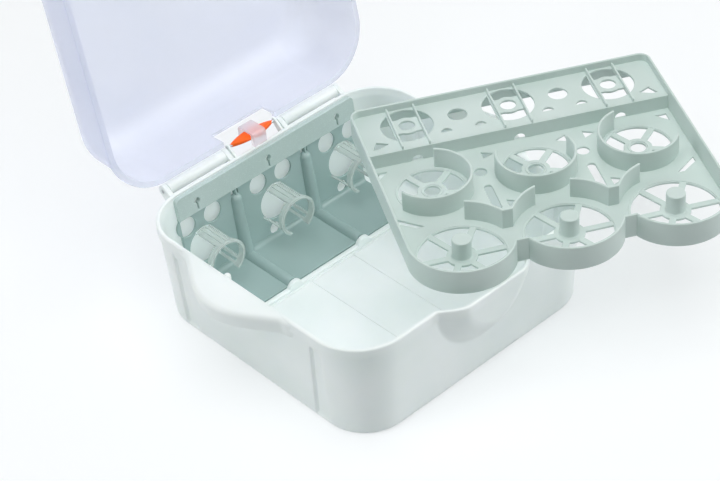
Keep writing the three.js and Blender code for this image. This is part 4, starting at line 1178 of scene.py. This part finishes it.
@dataclass
class Tray:
    """The teat tray: three round lobes with spoked floors, arcs, gull wings and a raised deck.

    Its own axes are w across and u from front to back, with the origin at the first wheel.
    """

    shop: Workshop
    origin: Triple = (7.0, -93.2, 86.3)
    turn_deg: float = -28.8
    pitch: float = 81.0
    row_pitch: float = 80.0
    wall: float = 2.0
    floor: float = 2.0
    rooted: float = 0.3  # how deep the walls and posts stand in the floor
    rim_height: float = 20.0
    rear_corner: float = 9.0
    side_run: Pair = (20.0, 12.0)  # the straight sides: their front end, and room for a corner
    step_gap: float = 11.0
    deck_depth: float = 52.0
    step_height: float = 12.0
    step_foot: float = 0.2
    step_front_gap: float = 0.2
    neck_share: float = 0.42
    hub: float = 11.5
    wheel_margin: float = 8.0
    spoke: float = 5.0
    post_radius: float = 7.2
    post_height: float = 15.6
    post_round: float = 0.9
    post_ring: float = 1.2
    post_ring_foot: float = 0.2
    ring_hub: float = 11.0
    ring_hole: float = 6.0
    ring_margin: float = 5.5
    low_ring: Triple = (1.2, 0.4, 0.5)  # width, depth in the floor, height over it
    low_ring_round: float = 0.4
    wheel_ring_gap: float = 1.4
    hole_ring_gap: float = 1.6
    arc_radius: float = 31.0
    arc_wall: float = 2.0
    arc_height: float = 17.0
    arc_gap_deg: float = 141.0
    arc_turn_deg: float = 50.0
    wall_round: float = 0.85
    gull_margin: float = 0.5
    gull_deg: Pair = (70.0, 29.0)
    rib: float = 1.6
    rib_height: float = 3.0
    rib_rooted: float = 0.4
    rib_round: float = 0.6
    rib_end_gap: float = 1.4
    rib_offset: float = 10.7
    deck_ring: Triple = (10.2, 6.2, 20.5)  # radii of the ring, its eye and the opening
    deck_shift: float = 2.0
    deck_overlap: float = 1.0
    deck_eye: Pair = (29.0, 7.6)  # behind the step, radius
    half_eye: Triple = (13.5, 10.0, 4.4)  # beside the gap, behind the step, radius
    deck_corner: Triple = (12.5, 14.0, 9.0)  # from the side, behind the step, size
    mouse_hole: float = 4.6
    edge: float = 0.45
    # Openings between columns; places along u are shares of the row pitch
    slot: Triple = (0.5625, 0.875, 3.2)  # front end, back end, radius
    eye: Pair = (1.125, 5.0)  # place, radius
    triangles: tuple[Pair, ...] = ((8.5, 0.5375), (7.0, 1.3125))  # from the gap's middle, place
    triangle: float = 9.0
    side_margin: float = 6.0
    crescent: tuple[float, ...] = (0.5125, 0.7, 6.0, 12.0, 18.0)  # low, high, depth, widths
    side_triangle: float = 1.3125

    def __post_init__(self) -> None:
        """Works out the places that follow from the sizes."""
        self.lobe = self.pitch / 2.0
        self.columns = [i * self.pitch for i in range(3)]
        self.gaps = [w - self.lobe for w in self.columns[1:]]
        self.right = self.columns[-1] + self.lobe
        self.middle = self.columns[-1] / 2.0
        self.step_u = self.row_pitch + self.arc_radius + self.step_gap
        self.rear_u = self.step_u + self.deck_depth
        self.deck_u = self.step_u + self.deck_depth / 2.0 + self.deck_shift

    def rear_corners(self, inset: float) -> np.ndarray:
        """The two rounded corners at the back, from right to left."""
        radius, u = self.rear_corner - inset, self.rear_u - self.rear_corner
        return np.concatenate([arc((self.right - self.rear_corner, u), radius, 0.0, 90.0, 10),
                               arc((self.rear_corner - self.lobe, u), radius, 90.0, 180.0, 10)])

    def outline(self, inset: float, cut_u: float | None = None) -> np.ndarray:
        """The tray's outline: round lobes in front and straight sides.

        Args:
            inset: distance in from the outer face.
            cut_u: level of a straight cut across the tray; None goes round its back corners.

        Returns:
            The outline's points, without doubled ones.
        """
        inset += FACET_ALLOWANCE
        left, right = inset - self.lobe, self.right - inset
        neck, last = -math.degrees(math.asin(self.neck_share)), len(self.columns) - 1
        runs = [arc((w, 0.0), self.lobe - inset, 180.0 - neck * (i > 0),
                    360.0 + neck * (i < last), 56) for i, w in enumerate(self.columns)]
        if cut_u is not None:
            runs.append(np.array([[right, cut_u], [left, cut_u]]))
        else:
            near, room = self.side_run
            u = np.linspace(near, self.rear_u - self.rear_corner - room, 9)
            runs += [np.column_stack([np.full_like(u, right), u]), self.rear_corners(inset),
                     np.column_stack([np.full_like(u, left), u[::-1]])]
        points = np.concatenate(runs)
        gap = np.linalg.norm(points - np.roll(points, 1, axis=0), axis=1)
        return points[gap > 1e-3]

    def spoked(self, w: float, u: float, inner: float, outer: float, spokes: int,
               turn: float) -> list[np.ndarray]:
        """Openings between the spokes of a wheel: ring sectors less half a spoke each side.

        Args:
            w: the wheel's middle.
            u: the wheel's middle.
            inner: radius of the hub.
            outer: radius of the openings.
            spokes: number of spokes.
            turn: angle of the first spoke, in degrees.

        Returns:
            One outline for each opening.
        """
        step = 360.0 / spokes
        far, near = (step / 2.0 - math.degrees(math.asin(self.spoke / 2.0 / radius))
                     for radius in (outer, inner))
        middles = [turn + step * (i + 0.5) for i in range(spokes)]
        return [np.concatenate([arc((w, u), outer, m - far, m + far, 16),
                                arc((w, u), inner, m + near, m - near, 8)]) for m in middles]

    def gap_holes(self, w: float) -> list[np.ndarray]:
        """Slot, eye and triangles between two columns.

        Args:
            w: the gap's middle.

        Returns:
            Their outlines.
        """
        front, back, radius = self.slot
        size, pitch = self.triangle, self.row_pitch
        made = [np.concatenate([arc((w, pitch * back), radius, 0.0, 180.0, 10),
                                arc((w, pitch * front), radius, 180.0, 360.0, 10)]),
                circle(w, pitch * self.eye[0], self.eye[1], 32)]
        for beside, place in self.triangles:
            at = np.array([w + beside, pitch * place])
            triangle = at + np.array([[0.0, 0.0], [size, size / 2.0], [0.0, size]])
            made += [triangle, mirrored(triangle, w)]
        return made

    def side_holes(self) -> list[np.ndarray]:
        """Openings beside the tray's side walls.

        Returns:
            Their outlines.
        """
        edge, pitch, size = self.side_margin - self.lobe, self.row_pitch, self.triangle
        low, high, depth, near, far = self.crescent
        low, high, rear = pitch * low, pitch * high, pitch * self.side_triangle
        crescent = np.array([[edge, high], [edge, high - depth],
                             [edge + near, low], [edge + far, low]])
        triangle = np.array([[edge, rear], [edge + size, rear + size], [edge, rear + size]])
        left = [crescent, triangle]
        return [*left, *(mirrored(hole, self.middle) for hole in left)]

    def lower_floor(self) -> Form:
        """The lower floor in front of the step, with its openings.

        Returns:
            The closed form.
        """
        holes = []
        for w in self.columns:
            holes += self.spoked(w, 0.0, self.hub, self.lobe - self.wheel_margin, 6, 0.0)
            holes += self.spoked(w, self.row_pitch, self.ring_hub,
                                 self.arc_radius - self.ring_margin, 5, 120.0)
            holes.append(circle(w, self.row_pitch, self.ring_hole, 32))
        for w in self.gaps:
            holes += self.gap_holes(w)
        outline = self.outline(self.wall / 2.0, self.step_u - self.step_front_gap)
        return prism(outline, 0.0, self.floor, [*holes, *self.side_holes()], self.edge)

    def deck_holes(self) -> list[np.ndarray]:
        """Openings of the raised deck: wheels between the ribs, eyes and cut corners.

        Returns:
            Their outlines.
        """
        ring, eye, opening = self.deck_ring
        outer, rib = self.rib_offset + self.rib, self.rib_offset - self.rib / 2.0
        wide, up = (math.degrees(math.acos(reach / opening)) for reach in (outer, rib))
        far = self.deck_u + math.sqrt(ring ** 2 - (ring / 2.0) ** 2)
        made = []
        for w in self.columns:
            lens = arc((w, self.deck_u), opening, -wide, wide, 20)
            cap = np.concatenate([
                arc((w, self.deck_u), opening, up, 180.0 - up, 14), [[w - rib, far]],
                arc((w, self.deck_u), ring, 120.0, 60.0, 10), [[w + rib, far]]])
            foot = np.column_stack([cap[:, 0], 2.0 * self.deck_u - cap[:, 1]])
            made += [lens, mirrored(lens, w), cap, foot, circle(w, self.deck_u, eye, 32)]
        beside, behind, radius = self.half_eye
        for w in self.gaps:
            half_eye = arc((w - beside, self.step_u + behind), radius, 0.0, 180.0, 12)
            full_eye = circle(w, self.step_u + self.deck_eye[0], self.deck_eye[1], 40)
            made += [full_eye, half_eye, mirrored(half_eye, w)]
        beside, behind, size = self.deck_corner
        corner = np.array([[0.0, 0.0], [size, -size / 2.0], [0.0, -size], [-size / 2.0, -size]])
        corner += np.array([beside - self.lobe, self.step_u + behind])
        return [*made, corner, mirrored(corner, self.middle)]

    def deck(self) -> Form:
        """The raised deck behind the step, with its openings and ribs.

        Returns:
            Deck and ribs.
        """
        low, top, inset = self.step_height, self.step_height + self.floor, self.wall / 2.0
        front = self.step_u - self.deck_overlap
        outline = np.concatenate([[[inset - self.lobe, front], [self.right - inset, front]],
                                  self.rear_corners(inset)])
        section = wall_section(self.rib, low + self.rib_rooted, top + self.rib_height,
                               self.rib_round)
        ribs = [w + side * self.rib_offset for w in self.columns for side in (-1, 1)]
        ends = (self.step_u - SINK, self.rear_u - self.rib_end_gap)
        return joined([prism(outline, low, top, self.deck_holes(), self.edge),
                       *(ribbon(np.array([[w, u] for u in ends]), section) for w in ribs)])

    def step(self) -> Form:
        """The upright step between floor and deck, with a half-round mouse hole to each column.

        Returns:
            The closed form.
        """
        left, right = self.wall / 2.0 - self.lobe, self.right - self.wall / 2.0
        top = self.step_height + self.floor
        holes = np.concatenate([arc((w, self.floor), self.mouse_hole, 180.0, 0.0, 16)
                                for w in self.columns])
        points = np.concatenate([[[left, top], [left, self.step_foot]], holes,
                                 [[right, self.step_foot], [right, top]]])
        return prism(points, self.step_u - self.wall, self.step_u, edge=0.35, axis=Axis.ALONG_Y)

    def rim(self) -> Form:
        """The outer wall, carried round the outline with a rounded top."""
        section = wall_section(self.wall, 0.0, self.rim_height, self.wall_round)
        return ribbon(self.outline(self.wall / 2.0), section, closed=True)

    def walls(self) -> tuple[list[Form], list[Form]]:
        """The walls that stand on the lower floor.

        Returns:
            The open arcs that hold screw rings, one to a column, and the wing walls between
            the lobes, each an arc, a short flat and an arc.
        """
        section = wall_section(self.arc_wall, self.floor - self.rooted,
                               self.floor + self.arc_height, self.wall_round)
        half_wall, half_gap = self.arc_wall / 2.0, self.arc_gap_deg / 2.0
        arcs, wings = [], []
        for i, w in enumerate(self.columns):
            facing = 90.0 + (1 - i) * self.arc_turn_deg
            arcs.append(ribbon(arc((w, self.row_pitch), self.arc_radius - half_wall,
                                   facing + half_gap, facing + 360.0 - half_gap, 72), section))
        radius = self.lobe + self.gull_margin + half_wall
        for w in self.gaps:
            left = arc((w - self.lobe, 0.0), radius, *self.gull_deg, 16)
            wings.append(ribbon(np.concatenate([left, mirrored(left, w)]), section))
        return arcs, wings

    def posts(self) -> list[Form]:
        """A round post in the middle of each lobe, with a soft rim and a low base ring.

        Returns:
            The posts.
        """
        low, top, soft = self.floor - self.rooted, self.floor + self.post_height, self.post_round
        ring, base = self.post_ring, self.post_radius + self.post_ring
        foot = self.floor + self.post_ring_foot
        profile = np.concatenate([
            [[POLE, low], [base, low], [base, foot]],
            arc((base, foot + ring), ring, 270.0, 180.0, 5),
            arc((self.post_radius - soft, top - soft), soft, 0.0, 90.0, 6),
            [[POLE, top]],
        ])
        return [turned(profile, w, 0.0, 48) for w in self.columns]

    def rings(self) -> Form:
        """Low raised rings round the wheels' openings and hubs.

        Returns:
            All rings.
        """
        width, depth, height = self.low_ring
        section = wall_section(width, self.floor - depth, self.floor + height, self.low_ring_round)
        places = [(0.0, self.lobe - self.wheel_margin + self.wheel_ring_gap),
                  (self.row_pitch, self.arc_radius - self.ring_margin + self.wheel_ring_gap),
                  (self.row_pitch, self.ring_hole + self.hole_ring_gap)]
        return joined([ribbon(circle(w, u, radius, 96), section, closed=True)
                       for w in self.columns for u, radius in places])

    def place(self, points: np.ndarray) -> np.ndarray:
        """Turns the tray about Z by its angle and moves it across the rims.

        Args:
            points: points in the tray's own axes.

        Returns:
            The points in the model's frame.
        """
        turn = math.radians(self.turn_deg)
        c, s = math.cos(turn), math.sin(turn)
        w, u, z = points.T
        return np.column_stack([c * w - s * u, s * w + c * u, z]) + np.array(self.origin)

    def build(self) -> None:
        """Makes the tray's pieces."""
        arcs, wings = self.walls()
        floor = joined([self.lower_floor(), self.rings()])
        pieces = [("tray_rim", self.rim(), "teat_tray"), ("tray_lower_floor", floor, "teat_tray"),
                  ("tray_deck", self.deck(), "teat_tray"), ("tray_step", self.step(), "teat_tray")]
        for node, forms in (("ring_arc", arcs), ("wing_wall", wings), ("teat_post", self.posts())):
            pieces += [(f"tray_{node}_{number}", form, f"{node}_{number}")
                       for number, form in enumerate(forms, 1)]
        for name, form, node in pieces:
            self.shop.add(name, form.placed(self.place), TRAY_GREY, "grey_plastic", "tray", node)


@dataclass
class Hinge:
    """The lid's rear hinge: two barrels on steel pins."""

    shop: Workshop
    y: float = 130.0
    z: float = 86.0
    pin: float = 2.0
    bore_play: float = 0.35
    barrel: float = 5.0
    inner_x: float = 30.0
    outer_x: float = 86.0
    ear: float = 4.0
    ear_drop: float = 15.0

    def build(self) -> None:
        """Makes barrels and pins, left and right."""
        for side, name in ((-1, "left"), (1, "right")):
            stretch = on_side(side, self.inner_x + CLEARANCE, self.outer_x - CLEARANCE)
            barrel = rod(self.y, self.z, self.barrel, stretch, self.pin + self.bore_play)
            self.shop.add(f"hinge_barrel_{name}", barrel, WHITE, "white_plastic", "lid",
                          f"lid_barrel_{name}")
            stretch = on_side(side, self.inner_x - self.ear, self.outer_x + self.ear)
            self.shop.add(f"hinge_pin_{name}_steel", rod(self.y, self.z, self.pin, stretch), STEEL,
                          "pin_steel", "root", f"hinge_pin_{name}")


@dataclass
class Lever:
    """A lens-shaped latch lever with a crowned face, on its own steel pin."""

    shop: Workshop
    half_width: float = 22.5
    thickness: float = 11.0
    depth: float = 4.4
    crown: float = 0.75
    pin: float = 1.2
    ear: float = 2.0
    ear_radius: float = 2.4
    sharp_deg: float = 60.0

    def lens(self, y: float, z: float) -> Form:
        """The lever: half its thickness times 1 - t^2, half its depth times sqrt(1 - t^6).

        Here t runs from -1 to 1 along it, and each section is a superellipse whose cosine and
        sine are raised to the crown's power.

        Args:
            y: its middle.
            z: its middle.

        Returns:
            The closed form.
        """
        t = np.sin(np.linspace(-np.pi / 2, np.pi / 2, 61)[1:-1])[:, None]
        around = np.linspace(0.0, 2.0 * np.pi, 48, endpoint=False)[None, :]
        cosine, sine = (np.sign(v) * np.abs(v) ** self.crown
                        for v in (np.cos(around), np.sin(around)))
        across = cosine * self.thickness / 2.0 * (1.0 - t * t)
        up = sine * self.depth / 2.0 * (1.0 - t ** 6) ** 0.5
        x = np.broadcast_to(t * self.half_width, across.shape)
        return loft(np.stack([x, y + across, z + up], axis=-1))

    def pin_form(self, y: float, z: float) -> Form:
        """The pin, through both ears."""
        reach = self.half_width + CLEARANCE + self.ear
        return rod(y, z, self.pin, (-reach, reach))


@dataclass
class RearLatch(Lever):
    """The latch behind the rear rim, with its clear keeper strap."""

    y: float = 131.0
    z: float = 90.5
    ear_drop: float = 10.0
    keeper_half: float = 6.5
    keeper_sheet: float = 1.8
    keeper_front: float = 120.0
    keeper_top: float = 95.9
    keeper_back: float = 139.3
    keeper_bend: float = 3.2
    keeper_inner_bends: Pair = (1.0, 1.2)
    rim_z: float = 86.0

    def keeper(self) -> Form:
        """The strap: up from the rim, over the lever and down behind it, with rounded bends.

        Returns:
            The closed form.
        """
        sheet, low = self.keeper_sheet, self.rim_z + CLEARANCE
        top = self.keeper_top + sheet
        front, back, bend = self.keeper_front, self.keeper_back, self.keeper_bend
        near, far = self.keeper_inner_bends
        inside, under = front + 2.0 * sheet, top - sheet
        outline = np.concatenate([
            [[front, low], [inside, low], [inside, under - near]],
            arc((inside + near, under - near), near, 180.0, 90.0, 4),
            arc((back - sheet - far, under - far), far, 90.0, 0.0, 5),
            [[back - sheet, self.rim_z], [back, self.rim_z]],
            arc((back - bend, top - bend), bend, 0.0, 90.0, 10),
            arc((front + bend, top - bend), bend, 90.0, 180.0, 10),
        ])
        return prism(outline, -self.keeper_half, self.keeper_half, edge=0.5, axis=Axis.ALONG_X)

    def build(self) -> None:
        """Makes lever, pin and keeper."""
        self.shop.add("rear_latch_lever", self.lens(self.y, self.z), ORANGE, "orange_plastic",
                      "rear_latch", "rear_latch", sharp_deg=self.sharp_deg)
        self.shop.add("rear_latch_pin_steel", self.pin_form(self.y, self.z), STEEL, "pin_steel",
                      "root", "rear_latch_pin")
        self.shop.add("rear_latch_strap", self.keeper(), KEEPER_CLEAR, "keeper_plastic", "root",
                      "rear_latch_keeper")


@dataclass
class Lid(Lever):
    """The frosted lid, made closed about its hinge axis and then turned open, with its latch."""

    tub: Tub | None = None
    hinge: Hinge | None = None
    sheet: float = 2.0
    height: float = 62.0 - FACET_ALLOWANCE
    shoulder: float = 26.0
    draft: float = 6.0
    lip: float = 2.8
    lip_depth: float = 4.0
    lip_round: float = 0.8
    open_deg: float = 100.0
    lift: float = 1.2
    vent_length: float = 26.0
    vent_width: float = 4.0
    vent_pitch: float = 12.0
    vents: int = 3
    vent_cut: float = 8.0
    notch_half: float = 26.0
    notch_height: float = 15.0
    notch_y: Pair = (-60.0, 4.0)
    notch_foot: float = -9.0
    lip_root: float = 0.5
    rise_start: float = 0.6
    ear_lift: float = 0.4
    dome_sharp_deg: float = 50.0

    def __post_init__(self) -> None:
        """Works out the closed lid's places, in the hinge axis' own frame."""
        assert self.tub is not None and self.hinge is not None
        self.low = self.tub.height + self.lift - self.hinge.z
        self.front = -(self.hinge.y + self.tub.half_y)
        self.latch_y = self.front - self.tub.wall - self.lip - self.thickness / 2.0
        self.latch_z = self.low + self.lip_depth + self.depth

    def dome(self, out: float, height: float) -> np.ndarray:
        """One face of the dome: a drafted wall, then a quarter-round shoulder.

        Args:
            out: offset of its foot from the rim's inner edge.
            height: its top.

        Returns:
            Rows of (offset, height).
        """
        spring = height - self.shoulder
        climb, lean = np.linspace(0.0, 1.0, 12)[:-1], self.draft * (spring / height)
        wall = np.column_stack([out - lean * climb, spring * climb])
        angle = np.radians(np.linspace(0.0, 90.0, 19))
        inset = lean + self.shoulder * (1.0 - np.cos(angle))
        bend = np.column_stack([out - inset, spring + self.shoulder * np.sin(angle)])
        return np.concatenate([wall, bend])

    def body(self) -> Form:
        """The dome with its turned-out edge: core + normal (corner + offset), row by row.

        Returns:
            The closed form.
        """
        core_x, core_y = self.tub.half_x - self.tub.corner, self.tub.half_y - self.tub.corner
        corners = [(-core_x, -core_y), (core_x, -core_y), (core_x, core_y), (-core_x, core_y)]
        sides = zip(corners, corners[1:] + corners[:1])
        core, normal = rounded_plan([np.linspace(a, b, 8) for a, b in sides], 16)
        out, wall, soft = self.tub.wall, self.tub.wall - self.sheet, self.lip_round
        edge = out + self.lip - soft
        lip = np.concatenate([[[wall, 0.0], [edge, 0.0]], arc((edge, soft), soft, -90.0, 0.0, 4),
                              arc((edge, self.lip_depth - soft), soft, 0.0, 90.0, 4),
                              [[out + self.lip_root, self.lip_depth]]])
        outer, inner = self.dome(out, self.height), self.dome(wall, self.height - self.sheet)
        rising = outer[outer[:, 1] > self.lip_depth + self.rise_start]
        rows = np.concatenate([inner[::-1][:-1], lip, rising])
        flat = core[None] + normal[None] * (self.tub.corner + rows[:, :1, None])
        return loft(lifted(flat, rows[:, 1:]) + np.array([0.0, -self.hinge.y, self.low]))

    def shell(self) -> Form:
        """The dome with its vents, and its rear edge cut away round the latch and the barrels.

        Returns:
            The carved form.
        """
        half, reach = self.vent_width / 2.0, (self.vent_length - self.vent_width) / 2.0
        top, cutters = self.low + self.height, []
        for i in range(self.vents):
            x = self.vent_pitch * (i - (self.vents - 1) / 2.0)
            outline = np.concatenate([arc((x, reach - self.hinge.y), half, 0.0, 180.0, 10),
                                      arc((x, -reach - self.hinge.y), half, 180.0, 360.0, 10)])
            cutters.append(prism(outline, top - self.vent_cut, top + self.vent_cut,
                                 edge=SHARP_EDGE))
        cutters.append(slab((-self.notch_half, self.notch_half), self.notch_y,
                            (self.notch_foot, self.low + self.notch_height), SHARP_EDGE))
        room = self.hinge.ear + CLEARANCE
        for side in (-1, 1):
            stretch = on_side(side, self.hinge.inner_x - room, self.hinge.outer_x + room)
            cutters.append(rod(0.0, 0.0, self.hinge.barrel + CLEARANCE, stretch))
        return carved(self.body(), cutters)

    def ears(self) -> Form:
        """The ears that hold the front latch's pin.

        Returns:
            Both ears.
        """
        wall_y = self.front - self.tub.wall / 2.0
        y, z, r = self.latch_y, self.latch_z, self.ear_radius
        outline = np.concatenate([arc((y, z), r, 180.0, 300.0, 16),
                                  [[wall_y, self.low + self.ear_lift], [wall_y, z + r]],
                                  arc((y, z), r, 90.0, 180.0, 10)[:-1]])
        near = self.half_width + CLEARANCE
        return joined([prism(outline, x, x + self.ear, edge=0.35, axis=Axis.ALONG_X)
                       for x in (near, -near - self.ear)])

    def opened(self, points: np.ndarray) -> np.ndarray:
        """Turns points about the hinge axis to the open stop, and moves them to the hinge.

        Args:
            points: points of the closed lid, in the hinge axis' own frame.

        Returns:
            The points in the model's frame.
        """
        turn = math.radians(-self.open_deg)
        c, s = math.cos(turn), math.sin(turn)
        x, y, z = points.T
        return np.column_stack([x, c * y - s * z + self.hinge.y, s * y + c * z + self.hinge.z])

    def build(self) -> None:
        """Makes lid, front ears, lever and pin."""
        self.shop.add("lid_dome", self.shell().placed(self.opened), FROSTED, "frosted_plastic",
                      "lid", "lid_shell", sharp_deg=self.dome_sharp_deg)
        self.shop.add("lid_latch_ears", self.ears().placed(self.opened), FROSTED,
                      "frosted_plastic", "lid", "lid_shell")
        lever = self.lens(self.latch_y, self.latch_z).placed(self.opened)
        self.shop.add("front_latch_lever", lever, ORANGE, "orange_plastic", "front_latch",
                      "front_latch", sharp_deg=self.sharp_deg)
        pin = self.pin_form(self.latch_y, self.latch_z).placed(self.opened)
        self.shop.add("front_latch_pin_steel", pin, STEEL, "pin_steel", "lid", "front_latch_pin")


@dataclass
class Studio:
    """Camera, pale floor and soft plain light."""

    camera_mm: Triple = (-834.3, -991.42, 1104.47)
    yaw_deg: float = 39.767
    pitch_deg: float = 38.979
    roll_deg: float = 5.116
    focal_px: float = 2220.03
    image_width_px: float = 720.0
    sensor_mm: float = 36.0
    clip_end_m: float = 100.0
    sky: str = "#f4f6f5"
    sky_strength: float = 0.24
    floor_colour: str = "#d0d3d5"
    floor_half_m: float = 6.0
    floor_glow: float = 0.34
    fade_m: Pair = (0.55, 1.3)
    white: str = "#ffffff"

    def camera(self) -> None:
        """Sets the camera: aimed by yaw and pitch, rolled about its line of sight, unshifted."""
        yaw, pitch, roll = (math.radians(a) for a in (self.yaw_deg, self.pitch_deg, self.roll_deg))
        right = Vector((math.cos(yaw), -math.sin(yaw), 0.0))
        level = math.cos(pitch)
        ahead = Vector((math.sin(yaw) * level, math.cos(yaw) * level, -math.sin(pitch)))
        up = right.cross(ahead)
        rolled_right = math.cos(roll) * right - math.sin(roll) * up
        rolled_up = math.sin(roll) * right + math.cos(roll) * up
        turn = Matrix((rolled_right, rolled_up, -ahead)).transposed().to_4x4()
        data = bpy.data.cameras.new("view")
        data.sensor_width = self.sensor_mm
        data.lens = self.focal_px * self.sensor_mm / self.image_width_px
        data.clip_end = self.clip_end_m
        eye = new_object("view", data)
        eye.matrix_world = Matrix.Translation(Vector(self.camera_mm) * MM) @ turn
        bpy.context.scene.camera = eye

    def lamp(self, name: str, place: Triple, size: float, power: float, shadow: bool = True,
             aim: Triple = (0.0, 0.0, 0.05)) -> None:
        """Adds a square area lamp that looks at a point near the object.

        Args:
            name: the lamp's name.
            place: where it stands, in metres.
            size: length of its side.
            power: its power in watts.
            shadow: False for a fill that reaches into the tub without a shadow of its own.
            aim: the point that it looks at.
        """
        data = bpy.data.lights.new(name, "AREA")
        data.size, data.energy, data.use_shadow = size, power, shadow
        lamp = new_object(name, data)
        lamp.location = place
        lamp.rotation_euler = (Vector(aim) - Vector(place)).to_track_quat("-Z", "Y").to_euler()

    def seen_straight(self, tree: bpy.types.NodeTree) -> bpy.types.NodeSocket:
        """Tells what is seen from what only lights the object.

        Args:
            tree: the node tree that asks.

        Returns:
            1 for rays from the camera, mirrors and glass, and 0 for light on the object.
        """
        rays = add_node(tree, "LightPath").outputs
        seen = rays["Is Camera Ray"]
        for kind in ("Is Glossy Ray", "Is Transmission Ray"):
            seen = add_node(tree, "Math", {0: seen, 1: rays[kind]}, operation="MAXIMUM").outputs[0]
        return seen

    def world(self) -> None:
        """A soft sky for light, and plain white where it is seen."""
        world = bpy.data.worlds.new("studio")
        tree = cleared_tree(world)
        soft = add_node(tree, "Background", {
            "Color": linear(self.sky), "Strength": self.sky_strength})
        white = add_node(tree, "Background", {"Color": linear(self.white), "Strength": 1.0})
        mix = add_node(tree, "MixShader", {
            "Fac": self.seen_straight(tree), 1: soft.outputs[0], 2: white.outputs[0]})
        add_node(tree, "OutputWorld", {"Surface": mix.outputs[0]})
        bpy.context.scene.world = world

    def floor_card(self) -> bpy.types.Material:
        """The floor's matt card: it takes the shadow, and is seen paler and white further out.

        Returns:
            The material.
        """
        made = bpy.data.materials.new("floor_matt_card")
        tree = cleared_tree(made)
        card = add_node(tree, "BsdfDiffuse", {"Color": linear(self.floor_colour)})
        strength = add_node(tree, "Math", {0: self.seen_straight(tree), 1: self.floor_glow},
                            operation="MULTIPLY")
        glow = add_node(tree, "Emission", {
            "Color": linear(self.white), "Strength": strength.outputs[0]})
        both = add_node(tree, "AddShader", {0: card.outputs[0], 1: glow.outputs[0]})
        place = add_node(tree, "TexCoord").outputs["Object"]
        distance = add_node(tree, "VectorMath", {"Vector": place}, operation="LENGTH")
        near, far = self.fade_m
        outside = add_node(tree, "MapRange", {
            "Value": distance.outputs["Value"], "From Min": near, "From Max": far},
            interpolation_type="SMOOTHSTEP")
        share = add_node(tree, "Math", {
            0: outside.outputs["Result"], 1: self.seen_straight(tree)}, operation="MULTIPLY")
        white = add_node(tree, "Emission", {"Color": linear(self.white)})
        faded = add_node(tree, "MixShader", {
            "Fac": share.outputs[0], 1: both.outputs[0], 2: white.outputs[0]})
        add_node(tree, "OutputMaterial", {"Surface": faded.outputs[0]})
        return made

    def floor(self) -> None:
        """A wide pale floor."""
        mesh = bpy.data.meshes.new("floor")
        span = (-self.floor_half_m, self.floor_half_m)
        corners = [(x, y, 0.0) for x, y in rectangle(span, span).tolist()]
        mesh.from_pydata(corners, [], [(0, 1, 2, 3)])
        mesh.materials.append(self.floor_card())
        floor = new_object("floor", mesh)

    def build(self) -> None:
        """Sets up the studio: camera, world, floor and lamps."""
        self.camera()
        self.world()
        self.floor()
        self.lamp("overhead", (-0.2, -0.25, 1.9), 1.8, 19.0)
        self.lamp("left_fill", (-1.9, 0.9, 0.9), 1.2, 14.0)
        self.lamp("right_fill", (1.9, -1.5, 0.5), 1.2, 3.0)
        self.lamp("rear_sheen", (1.3, 1.8, 1.4), 1.4, 6.0)
        self.lamp("inner_fill", (1.8, -1.4, 1.6), 1.4, 34.0, shadow=False)
        bpy.context.scene.view_settings.view_transform = "Standard"


def main() -> None:
    """Builds the sterilizer's looks round the frame, sub-assembly by sub-assembly."""
    logging.basicConfig(level=logging.INFO, format="%(name)s %(message)s")
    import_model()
    Studio().build()
    shop = Workshop()
    rack, hinge, latch = Rack(shop), Hinge(shop), RearLatch(shop)
    tub = Tub(shop)
    tub.build(rack, hinge, latch)
    rack.build()
    for number in (1, 2, 3):
        Collar(shop, rack, number).build()
    Tray(shop).build()
    hinge.build()
    latch.build()
    Lid(shop, tub=tub, hinge=hinge).build()


if __name__ == "__main__":
    main()
